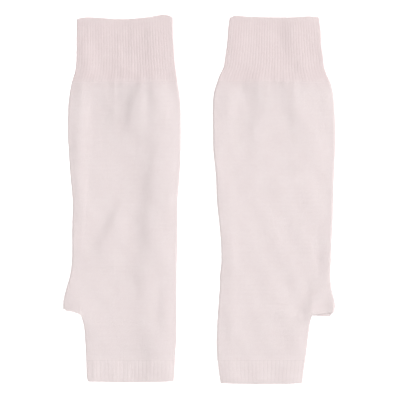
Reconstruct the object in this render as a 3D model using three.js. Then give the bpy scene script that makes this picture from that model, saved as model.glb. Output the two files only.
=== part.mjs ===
// A pair of long fingerless knitted gloves, laid flat side by side, backs up and fingers towards -Y.
// Millimetres, +Z up, with the origin on the surface under the middle of the pair.
// "across" is the distance from a glove's own middle line, positive towards its thumb.

import * as THREE from 'three';

// Driving dimensions
const GLOVE_MIDDLE = 67;
const WALL = 1.4;
const SEAM_GAP = 0.3;
const CUFF_SEAM = 105.9;
const BAND_SEAM = -144.3;
const THUMB_SPLIT = -88.5;
const FOLD_RADIUS = 2.3;
const EDGE_LOFT = 4.7;
const MIDDLE_LOFT = 4.3;
const LEAST_LOFT = 3.2;
const LOFT_RISE_POWER = 4;
const RIB_HEIGHT = 0.6;
const RIB_PITCH = { cuff: 2.45, band: 3.5 };
const CROTCH_DIP = 1.6;
const CROTCH_LENGTH = 6;

// Cells of the cloth along each stretch
const ROWS = { cuff: 4, tube: 16, hand: 6, thumb: 3, band: 2 };
const CELLS = { hand: 14, thumb: 3, handUnder: 5, thumbUnder: 2, cuffUnder: 6, bandUnder: 5 };
const FOLD_CELLS = 4;
const RIB_CELLS = 3;

const YARN = { color: 0xe9dddc, roughness: 0.95, metalness: 0 };

// The outline: how far the cloth reaches from the middle line, at the inner side and at the thumb side
const LEFT_OUTLINE = [
  { y: 165, inner: 43.5, outer: 43.5 },
  { y: 149, inner: 43.9, outer: 43.8 },
  { y: 134, inner: 44.8, outer: 43.9 },
  { y: 124, inner: 45.4, outer: 44.2 },
  { y: 115, inner: 46.7, outer: 45.4 },
  { y: 106, inner: 47.8, outer: 48.0 },
  { y: 97, inner: 49.1, outer: 49.8 },
  { y: 86, inner: 50.3, outer: 51.2 },
  { y: 62, inner: 50.7, outer: 51.7 },
  { y: 36, inner: 50.4, outer: 50.4 },
  { y: 18, inner: 49.2, outer: 49.0 },
  { y: 0, inner: 47.8, outer: 47.4 },
  { y: -27, inner: 47.7, outer: 47.8 },
  { y: -56, inner: 47.0, outer: 48.1 },
  { y: -69, inner: 46.9, outer: 49.9 },
  { y: -81, inner: 46.8, outer: 53.3 },
  { y: -90, inner: 46.8, outer: 55.4 },
  { y: -99, inner: 46.8, outer: 55.8 },
];
const LEFT_HAND = [
  { y: -86, inner: 46.8, outer: 39.6 },
  { y: -105, inner: 46.8, outer: 39.4 },
  { y: -110, inner: 46.8, outer: 38.1 },
  { y: -116, inner: 46.8, outer: 36.9 },
  { y: -128, inner: 46.5, outer: 36.0 },
  { y: -139, inner: 45.6, outer: 35.4 },
  { y: -150, inner: 45.3, outer: 35.0 },
  { y: -161, inner: 44.8, outer: 34.6 },
  { y: -164.5, inner: 44.3, outer: 33.6 },
];
const RIGHT_OUTLINE = [
  { y: 165, inner: 40.0, outer: 41.2 },
  { y: 154, inner: 41.4, outer: 42.7 },
  { y: 140, inner: 42.4, outer: 43.5 },
  { y: 129, inner: 43.9, outer: 45.0 },
  { y: 120, inner: 45.3, outer: 45.9 },
  { y: 113, inner: 48.5, outer: 48.1 },
  { y: 106, inner: 51.2, outer: 51.2 },
  { y: 97, inner: 53.9, outer: 53.6 },
  { y: 86, inner: 55.0, outer: 54.8 },
  { y: 62, inner: 55.0, outer: 55.8 },
  { y: 45, inner: 54.6, outer: 55.6 },
  { y: 22, inner: 52.3, outer: 54.7 },
  { y: 0, inner: 51.4, outer: 53.9 },
  { y: -23, inner: 49.1, outer: 53.4 },
  { y: -41, inner: 47.6, outer: 52.3 },
  { y: -56, inner: 47.3, outer: 51.8 },
  { y: -68, inner: 48.5, outer: 51.3 },
  { y: -81, inner: 48.9, outer: 52.5 },
  { y: -92, inner: 50.0, outer: 55.2 },
  { y: -98, inner: 50.3, outer: 55.4 },
  { y: -104, inner: 50.4, outer: 54.1 },
];
const RIGHT_HAND = [
  { y: -86, inner: 49.2, outer: 34.6 },
  { y: -105, inner: 50.6, outer: 34.5 },
  { y: -110, inner: 51.0, outer: 33.2 },
  { y: -119, inner: 51.3, outer: 31.9 },
  { y: -130, inner: 51.7, outer: 30.5 },
  { y: -141, inner: 51.2, outer: 29.2 },
  { y: -150, inner: 50.3, outer: 28.0 },
  { y: -159, inner: 49.2, outer: 26.8 },
  { y: -166, inner: 48.2, outer: 26.1 },
];

// The free edges: where the cloth ends, from the inner side to the thumb side
const LEFT_ARM_EDGE = [
  { across: -43, y: 164.8 },
  { across: -37, y: 166.7 },
  { across: -21, y: 164.6 },
  { across: -5, y: 163.1 },
  { across: 7, y: 162.9 },
  { across: 17, y: 163.5 },
  { across: 38, y: 164.2 },
  { across: 44, y: 162.7 },
];
const RIGHT_ARM_EDGE = [
  { across: -40, y: 164.2 },
  { across: -36, y: 165.6 },
  { across: -25, y: 165.2 },
  { across: 2, y: 164.4 },
  { across: 18, y: 164.5 },
  { across: 30, y: 165.2 },
  { across: 41, y: 164.6 },
];
const LEFT_HAND_EDGE = [
  { across: -44, y: -163.9 },
  { across: -5, y: -164.8 },
  { across: 34, y: -164.0 },
];
const RIGHT_HAND_EDGE = [
  { across: -48, y: -165.6 },
  { across: -10, y: -166.5 },
  { across: 26, y: -165.7 },
];
const LEFT_THUMB_RIM = [
  { across: 40, y: -103.6 },
  { across: 43, y: -102.2 },
  { across: 47, y: -100.9 },
  { across: 54, y: -99.5 },
  { across: 56, y: -98.4 },
];
const RIGHT_THUMB_RIM = [
  { across: 35, y: -103.6 },
  { across: 39, y: -102.4 },
  { across: 46, y: -100.4 },
  { across: 50, y: -100.2 },
  { across: 54, y: -101.6 },
];
const RIGHT_THUMB_FAR_RIM = [
  { across: 35, y: -104.4 },
  { across: 45, y: -105.0 },
  { across: 52, y: -104.4 },
  { across: 54, y: -102.0 },
];

// Ridges and troughs of the top layer, each along a straight line: a trough has a height below 0
const LEFT_FOLDS = [
  { from: [-10.8, 104], to: [-2.7, 85], width: 4.5, height: -0.8 },
  { from: [-2.7, 85], to: [-2.7, 70], width: 4.5, height: -0.6 },
  { from: [-25.7, 100], to: [-25.7, 67], width: 5, height: -0.5 },
  { from: [9, 98], to: [9, 62], width: 9, height: -0.5 },
  { from: [33, 102], to: [33, 80], width: 6, height: 1.5 },
  { from: [42, 128], to: [44, 106], width: 5, height: -0.9 },
  { from: [-19.8, 45], to: [-16.2, -41], width: 5.5, height: -0.8 },
  { from: [-16.2, -41], to: [-10.8, -84], width: 4, height: -0.8 },
  { from: [-10.8, -84], to: [-19.8, -146], width: 4.5, height: -0.9 },
  { from: [-2.7, 9], to: [25.2, -43], width: 4.5, height: -0.8 },
  { from: [4.5, -27], to: [19.8, -71], width: 7, height: 1.4 },
  { from: [-32.4, -81], to: [-32.4, -117], width: 4.5, height: -0.8 },
  { from: [-24.8, -54], to: [-23, -108], width: 5.5, height: 1.3 },
  { from: [-41.5, -122], to: [-41.5, -153], width: 5, height: 0.9 },
  { from: [0, 150], to: [-18, 122], width: 16, height: -0.4 },
];
const RIGHT_FOLDS = [
  { from: [-18.8, 94], to: [-18.8, 58], width: 5, height: -0.7 },
  { from: [14.5, 100], to: [14.5, 67], width: 5, height: -0.8 },
  { from: [5.5, 97], to: [5.5, 81], width: 5, height: 1.2 },
  { from: [-41, 97], to: [-41, 84], width: 7, height: 1.5 },
  { from: [-12.5, 19], to: [23.5, 29], width: 5, height: -0.7 },
  { from: [-10.7, 10], to: [23.5, 17], width: 6, height: 1.1 },
  { from: [11, 162], to: [11, 125], width: 7, height: -0.6 },
  { from: [-41.5, -36], to: [-41.5, -68], width: 5, height: -0.8 },
  { from: [-30.5, -50], to: [-28, -140], width: 8, height: 1.4 },
  { from: [38, -51], to: [44, -60], width: 3.5, height: -0.8 },
  { from: [30, -77], to: [35, -102], width: 4, height: -1.0 },
  { from: [24.5, -101], to: [24.5, -103], width: 6, height: -0.9 },
  { from: [45, -99], to: [48, -104], width: 6, height: 1.6 },
];

const LEFT = {
  name: 'left',
  side: -1,
  outline: LEFT_OUTLINE,
  hand: LEFT_HAND,
  armEdge: LEFT_ARM_EDGE,
  handEdge: LEFT_HAND_EDGE,
  thumbRim: LEFT_THUMB_RIM,
  thumbFarRim: LEFT_THUMB_RIM,
  folds: LEFT_FOLDS,
};
const RIGHT = {
  name: 'right',
  side: 1,
  outline: RIGHT_OUTLINE,
  hand: RIGHT_HAND,
  armEdge: RIGHT_ARM_EDGE,
  handEdge: RIGHT_HAND_EDGE,
  thumbRim: RIGHT_THUMB_RIM,
  thumbFarRim: RIGHT_THUMB_FAR_RIM,
  folds: RIGHT_FOLDS,
};

// A smooth line through a table: gives the named columns at any value of the key column
function tableLine(rows, key, columns) {
  const sorted = [...rows].sort((a, b) => a[key] - b[key]);
  const positions = sorted.map((row) => row[key]);
  const values = sorted.flatMap((row) => columns.map((column) => row[column]));
  const line = new THREE.CubicInterpolant(positions, values, columns.length);
  return (at) => {
    const inside = THREE.MathUtils.clamp(at, positions[0], positions.at(-1));
    return Array.from(line.evaluate(inside));
  };
}

// A thick sheet: pairs of outer and inner points joined by four-sided cells, closed at its free edges
class Cloth {
  constructor(side) {
    this.side = side;
    this.positions = [];
    this.cells = [];
  }

  point(outer, inner) {
    for (const [across, y, z] of [outer, inner]) this.positions.push(this.side * across, y, z);
    return this.positions.length / 6 - 1;
  }

  // Moves the inner point of a pair sideways, away from the thumb
  leanInner(point, distance) {
    this.positions[6 * point + 3] -= this.side * distance;
  }

  cell(a, b, c, d) {
    this.cells.push(this.side > 0 ? [a, b, c, d] : [d, c, b, a]);
  }

  geometry() {
    const outer = (point) => 2 * point;
    const inner = (point) => 2 * point + 1;
    const faces = [];
    const square = (a, b, c, d) => faces.push(a, b, c, a, c, d);
    const edges = new Map();
    for (const cell of this.cells) {
      const [a, b, c, d] = cell;
      square(outer(a), outer(b), outer(c), outer(d));
      square(inner(d), inner(c), inner(b), inner(a));
      cell.forEach((from, i) => {
        const to = cell[(i + 1) % 4];
        edges.set(`${from} ${to}`, [from, to]);
      });
    }
    for (const [from, to] of edges.values()) {
      const isFree = !edges.has(`${to} ${from}`);
      if (isFree) square(outer(to), outer(from), inner(from), inner(to));
    }
    const geometry = new THREE.BufferGeometry();
    geometry.setAttribute('position', new THREE.Float32BufferAttribute(this.positions, 3));
    geometry.setIndex(faces);
    geometry.computeVertexNormals();
    return geometry;
  }
}

// Evenly spaced values from one number to another, both included
function steps(from, to, count) {
  return Array.from({ length: count + 1 }, (_, i) => THREE.MathUtils.lerp(from, to, i / count));
}

// The height of the top layer's outer face above the surface, without ribs
function loftAt(glove, across, y, low, high) {
  const middle = (low + high) / 2;
  const fromMiddle = Math.abs(across - middle) / ((high - low) / 2);
  let loft = THREE.MathUtils.lerp(MIDDLE_LOFT, EDGE_LOFT, fromMiddle ** LOFT_RISE_POWER);
  const here = new THREE.Vector3(across, y, 0);
  const nearest = new THREE.Vector3();
  for (const fold of glove.folds) {
    const line = new THREE.Line3(new THREE.Vector3(...fold.from, 0), new THREE.Vector3(...fold.to, 0));
    line.closestPointToPoint(here, true, nearest);
    const distance = nearest.distanceTo(here) / fold.width;
    loft += fold.height * Math.exp(-distance * distance);
  }
  return Math.max(loft, LEAST_LOFT);
}

// The points round one fold, from the under layer up to the top layer, without its two ends
function addFold(cloth, { edge, radius, outward, loft, yAt }) {
  const innerRadius = Math.max(radius - WALL, 0);
  const points = [];
  for (let i = 1; i < FOLD_CELLS; i += 1) {
    const angle = Math.PI * (i / FOLD_CELLS - 0.5);
    const bulge = Math.cos(angle) - 1;
    const rise = Math.sin(angle);
    const outerAcross = edge + outward * radius * bulge;
    const innerAcross = edge - outward * WALL + outward * innerRadius * bulge;
    const y = yAt(edge, (rise + 1) / 2);
    points.push(cloth.point(
      [outerAcross, y, (loft / 2) * (1 + rise)],
      [innerAcross, y, loft / 2 + (loft / 2 - WALL) * rise],
    ));
  }
  return points;
}

// One ring of a flattened tube. "under" and "over" are the places of its points in the two layers,
// as shares of the way from the inner side to the thumb side.
function addRing(cloth, glove, ring) {
  const { low, high, under, over, yAt, ribbed = false } = ring;
  const start = low + FOLD_RADIUS;
  const end = high - FOLD_RADIUS;
  const place = (share) => THREE.MathUtils.lerp(start, end, share);
  const height = (across) => loftAt(glove, across, ring.y, low, high);
  const underLayer = under.map((share) => {
    const across = place(share);
    const y = yAt(across, 0);
    return cloth.point([across, y, 0], [across, y, WALL]);
  });
  const overLayer = over.map((share, i) => {
    const across = place(share);
    const y = yAt(across, 1);
    const rib = ribbed && i % RIB_CELLS !== 0 ? RIB_HEIGHT : 0;
    const z = height(across);
    return cloth.point([across, y, z + rib], [across, y, z - WALL]);
  });
  const fold = (edge, outward, loft) => addFold(cloth, { edge, radius: FOLD_RADIUS, outward, loft, yAt });
  return {
    under: underLayer,
    over: overLayer,
    outerFold: fold(high, 1, height(end)),
    innerFold: fold(low, -1, height(start)),
  };
}

// The way round a ring: along the under layer, up the outer fold, back over the top, down again
function wayRound({ under, over, outerFold, innerFold }) {
  return [...under, ...outerFold, ...[...over].reverse(), ...[...innerFold].reverse()];
}

// Joins two rings that have the same number of points
function joinRings(cloth, upper, lower) {
  const above = wayRound(upper);
  const below = wayRound(lower);
  above.forEach((point, i) => {
    const next = (i + 1) % above.length;
    cloth.cell(point, above[next], below[next], below[i]);
  });
}

function joinAll(cloth, rings) {
  for (let i = 1; i < rings.length; i += 1) joinRings(cloth, rings[i - 1], rings[i]);
}

function clothMesh(glove, piece, cloth) {
  const mesh = new THREE.Mesh(cloth.geometry(), new THREE.MeshStandardMaterial(YARN));
  mesh.name = `${glove.name}_${piece}`;
  return mesh;
}

// A ribbed end of the tube, from its seam to a free edge that isn't quite straight
function ribbedEnd(glove, piece, { outline, seam, freeEdge, rows, pitch, underCells }) {
  const cloth = new Cloth(glove.side);
  const widthAt = tableLine(outline, 'y', ['inner', 'outer']);
  const edgeAt = tableLine(freeEdge, 'across', ['y']);
  const nominalEdge = freeEdge.reduce((sum, row) => sum + row.y, 0) / freeEdge.length;
  const [middleInner, middleOuter] = widthAt((seam + nominalEdge) / 2);
  const ribs = Math.round((middleInner + middleOuter - 2 * FOLD_RADIUS) / pitch);
  const over = steps(0, 1, ribs * RIB_CELLS);
  const under = steps(0, 1, underCells);
  const shares = steps(0, 1, rows);
  const rings = shares.map((share) => {
    const y = THREE.MathUtils.lerp(seam, nominalEdge, share);
    const [inner, outer] = widthAt(y);
    const yAt = (across) => THREE.MathUtils.lerp(seam, edgeAt(across)[0], share);
    return addRing(cloth, glove, { y, low: -inner, high: outer, under, over, yAt, ribbed: true });
  });
  if (nominalEdge > seam) rings.reverse();
  joinAll(cloth, rings);
  return clothMesh(glove, piece, cloth);
}

function cuff(glove) {
  return ribbedEnd(glove, 'cuff', {
    outline: glove.outline,
    seam: CUFF_SEAM + SEAM_GAP / 2,
    freeEdge: glove.armEdge,
    rows: ROWS.cuff,
    pitch: RIB_PITCH.cuff,
    underCells: CELLS.cuffUnder,
  });
}

function band(glove) {
  return ribbedEnd(glove, 'band', {
    outline: glove.hand,
    seam: BAND_SEAM - SEAM_GAP / 2,
    freeEdge: glove.handEdge,
    rows: ROWS.band,
    pitch: RIB_PITCH.band,
    underCells: CELLS.bandUnder,
  });
}

// The share of the tube's width, between its folds, that goes on into the hand
function crotchShare(glove) {
  const [inner, outer] = tableLine(glove.outline, 'y', ['inner', 'outer'])(THUMB_SPLIT);
  const [, crotch] = tableLine(glove.hand, 'y', ['inner', 'outer'])(THUMB_SPLIT);
  return (inner + crotch - FOLD_RADIUS) / (inner + outer - 2 * FOLD_RADIUS);
}

// The hand's own fold beside the thumb. It starts upright where the thumb leaves, dipping below the
// layers, and rounds off over a short way.
function addCrotchFold(cloth, { crotch, loft, y, roundness, dip }) {
  const yAt = (_, rise) => y - dip * Math.sin(Math.PI * rise);
  return addFold(cloth, { edge: crotch, radius: FOLD_RADIUS * roundness, outward: 1, loft, yAt });
}

// The jersey tube: rings as wide as the arm down to the thumb, then narrower rings round the hand
function tube(glove) {
  const cloth = new Cloth(glove.side);
  const widthAt = tableLine(glove.outline, 'y', ['inner', 'outer']);
  const handAt = tableLine(glove.hand, 'y', ['inner', 'outer']);
  const crotchAt = crotchShare(glove);
  const over = [...steps(0, crotchAt, CELLS.hand), ...steps(crotchAt, 1, CELLS.thumb).slice(1)];
  const under = [...steps(0, crotchAt, CELLS.handUnder), ...steps(crotchAt, 1, CELLS.thumbUnder).slice(1)];
  const wideRings = steps(CUFF_SEAM - SEAM_GAP / 2, THUMB_SPLIT, ROWS.tube).map((y) => {
    const [inner, outer] = widthAt(y);
    return addRing(cloth, glove, { y, low: -inner, high: outer, under, over, yAt: () => y });
  });
  joinAll(cloth, wideRings);

  const split = wideRings.at(-1);
  const [, crotch] = handAt(THUMB_SPLIT);
  const [inner, outer] = widthAt(THUMB_SPLIT);
  const loft = loftAt(glove, crotch, THUMB_SPLIT, -inner, outer);
  for (const corner of [split.under[CELLS.handUnder], split.over[CELLS.hand]]) cloth.leanInner(corner, WALL);
  const handRings = [{
    under: split.under.slice(0, CELLS.handUnder + 1),
    over: split.over.slice(0, CELLS.hand + 1),
    outerFold: addCrotchFold(cloth, { crotch, loft, y: THUMB_SPLIT, roundness: 0, dip: CROTCH_DIP }),
    innerFold: split.innerFold,
  }];
  const handOver = steps(0, 1, CELLS.hand);
  const handUnder = steps(0, 1, CELLS.handUnder);
  const handStations = steps(THUMB_SPLIT, BAND_SEAM + SEAM_GAP / 2, ROWS.hand).slice(1);
  for (const y of [THUMB_SPLIT - CROTCH_LENGTH / 2, ...handStations]) {
    const [handInner, handOuter] = handAt(y);
    const ring = { y, low: -handInner, high: handOuter, under: handUnder, over: handOver, yAt: () => y };
    handRings.push(addRing(cloth, glove, ring));
  }
  joinAll(cloth, handRings);
  return clothMesh(glove, 'tube', cloth);
}

// The thumb: a short tube beside the hand's fold, its rim cut a little askew
function thumb(glove) {
  const cloth = new Cloth(glove.side);
  const widthAt = tableLine(glove.outline, 'y', ['inner', 'outer']);
  const handAt = tableLine(glove.hand, 'y', ['inner', 'outer']);
  const rimAt = tableLine(glove.thumbRim, 'across', ['y']);
  const farRimAt = tableLine(glove.thumbFarRim, 'across', ['y']);
  const nominalRim = glove.thumbRim.reduce((sum, row) => sum + row.y, 0) / glove.thumbRim.length;
  const seam = THUMB_SPLIT - SEAM_GAP;
  const over = steps(0, 1, CELLS.thumb);
  const under = steps(0, 1, CELLS.thumbUnder);
  const rings = steps(0, 1, ROWS.thumb).map((share) => {
    const y = THREE.MathUtils.lerp(seam, nominalRim, share);
    const [, high] = widthAt(y);
    const low = handAt(y)[1] + SEAM_GAP;
    const yAt = (across, rise) => {
      const rim = THREE.MathUtils.lerp(farRimAt(across)[0], rimAt(across)[0], rise);
      return THREE.MathUtils.lerp(seam, rim, share);
    };
    return addRing(cloth, glove, { y, low, high, under, over, yAt });
  });
  joinAll(cloth, rings);
  return clothMesh(glove, 'thumb', cloth);
}

function gloveGroup(glove) {
  const group = new THREE.Group();
  group.name = `${glove.name}_glove`;
  group.position.x = glove.side * GLOVE_MIDDLE;
  group.add(cuff(glove), tube(glove), thumb(glove), band(glove));
  return group;
}

const pair = new THREE.Group();
pair.name = 'glove_pair';
pair.add(gloveGroup(LEFT), gloveGroup(RIGHT));

export default pair;
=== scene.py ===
"""A pair of long fingerless knitted gloves, laid flat on a pale floor and seen from straight above."""

import logging
import math
import random
from abc import ABC, abstractmethod
from bisect import bisect_right
from collections.abc import Callable, Iterable, Sequence
from dataclasses import dataclass, field
from enum import Enum
from itertools import pairwise
from typing import ClassVar

import bpy
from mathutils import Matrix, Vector


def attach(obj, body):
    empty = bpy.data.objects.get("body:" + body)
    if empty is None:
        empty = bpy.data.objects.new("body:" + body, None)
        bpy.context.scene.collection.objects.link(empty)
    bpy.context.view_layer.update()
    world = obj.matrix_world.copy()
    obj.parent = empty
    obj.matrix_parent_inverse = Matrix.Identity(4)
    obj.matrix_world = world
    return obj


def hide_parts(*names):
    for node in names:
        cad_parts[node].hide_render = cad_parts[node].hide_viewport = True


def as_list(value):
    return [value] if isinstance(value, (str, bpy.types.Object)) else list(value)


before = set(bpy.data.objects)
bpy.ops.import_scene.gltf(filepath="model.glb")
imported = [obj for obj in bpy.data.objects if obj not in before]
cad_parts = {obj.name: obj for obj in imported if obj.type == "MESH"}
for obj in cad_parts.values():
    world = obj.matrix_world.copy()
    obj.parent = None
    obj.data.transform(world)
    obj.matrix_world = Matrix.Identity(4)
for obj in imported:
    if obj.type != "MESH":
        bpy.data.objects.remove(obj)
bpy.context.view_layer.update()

LOG = logging.getLogger("gloves")

Point = tuple[float, float, float]
Size = tuple[float, float]
Colour = tuple[float, float, float, float]

# Shapes are worked out in millimetres and written to the meshes in metres
MM = 0.001

# Stations along a glove, and how far its middle line stands from the frame's
CUFF_SEAM = 105.9
BAND_SEAM = -144.3
THUMB_SPLIT = -88.5
CROTCH_FOOT = -103.0
CROTCH_LENGTH = 12.0
GLOVE_MIDDLE = 67.0

# The thickness of the cloth, and how high its top layer lies
WALL = 1.4
RIB_WALL = 1.6
RIB_HEIGHT = 0.12
EDGE_LOFT = 4.25
MIDDLE_LOFT = 4.5
LEAST_LOFT = 3.2
LOFT_FALL_POWER = 4

# The round folds at the sides, and the soft folds that are listed in each glove's plan
FOLD_RADIUS = 2.3
FOLD_SQUARENESS = 0.67
UPRIGHT_RADIUS = 0.8
FOLD_REACH = 4.0
SLOPE_TAIL = 1.2
SLOPE_SOFTNESS = 0.3

# The stitches: a course's height, the wales in a layer and in a side fold, and the map that counts them
COURSE_HEIGHT = 1.15
LAYER_WALES = 68
FOLD_WALES = 6
STITCH_MAP = "Stitches"

WHITE: Colour = (1.0, 1.0, 1.0, 1.0)


def mix(low: float, high: float, share: float) -> float:
    """The number that lies a share of the way from low to high."""
    return low + (high - low) * share


def clamp(value: float, low: float, high: float) -> float:
    """The value, kept between low and high."""
    return min(max(value, low), high)


def smooth(share: float) -> float:
    """A soft start and stop for a share between 0 and 1."""
    share = clamp(share, 0.0, 1.0)
    return share * share * (3.0 - 2.0 * share)


def steps(low: float, high: float, count: int) -> list[float]:
    """Evenly spaced numbers from low to high, both included."""
    return [mix(low, high, i / count) for i in range(count + 1)]


@dataclass(frozen=True)
class Row:
    """How far the cloth reaches from a glove's middle line at one station."""

    y: float
    inner: float
    outer: float


@dataclass(frozen=True)
class Edge:
    """A point where the cloth ends."""

    across: float
    y: float


@dataclass(frozen=True)
class Fold:
    """A soft fold of one layer along a path of places: distance across, station and strength.

    The height makes a ridge, or a trough where it is below 0. The step makes a slope: on a path that runs
    towards the fingers it lifts the cloth on the right of the picture and lowers it on the left.
    """

    path: tuple[Point, ...]
    width: float
    height: float = 0.0
    step: float = 0.0

    def lift(self, across: float, y: float, side: int) -> float:
        """How far this fold lifts the layer at a point.

        Args:
            across: Distance from the glove's middle line.
            y: Station along the glove.
            side: 1 for the right glove and -1 for the left one.

        Returns:
            The lift in millimetres.
        """
        nearest, beside, strength = FOLD_REACH * self.width, 0.0, 0.0
        for (across0, y0, strength0), (across1, y1, strength1) in pairwise(self.path):
            run = (across1 - across0, y1 - y0)
            offset = (across - across0, y - y0)
            along = clamp((offset[0] * run[0] + offset[1] * run[1]) / (run[0] ** 2 + run[1] ** 2), 0.0, 1.0)
            away = math.hypot(offset[0] - along * run[0], offset[1] - along * run[1])
            if away < nearest:
                nearest = away
                beside = math.copysign(away, side * (run[0] * offset[1] - run[1] * offset[0]))
                strength = mix(strength0, strength1, along)
        share = nearest / self.width
        ridge = self.height * math.exp(-share * share)
        tail = math.exp(SLOPE_TAIL * (SLOPE_SOFTNESS - math.hypot(share, SLOPE_SOFTNESS)))
        return strength * (ridge + self.step * beside / self.width * tail)


@dataclass(frozen=True)
class GlovePlan:
    """The measured lines of one glove."""

    name: str
    side: int
    outline: tuple[Row, ...]
    hand: tuple[Row, ...]
    arm_edge: tuple[Edge, ...]
    hand_edge: tuple[Edge, ...]
    thumb_rim: tuple[Edge, ...]
    thumb_far_rim: tuple[Edge, ...]
    folds: tuple[Fold, ...]
    rib_press: tuple[tuple[float, float], ...]
    rib_fade: float
    curl: Fold | None
    band_ribs: int
    seed: int


LEFT_THUMB_RIM = (
    Edge(across=40, y=-103.6),
    Edge(across=43, y=-102.2),
    Edge(across=47, y=-100.9),
    Edge(across=54, y=-99.5),
    Edge(across=56, y=-98.4),
)

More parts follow.
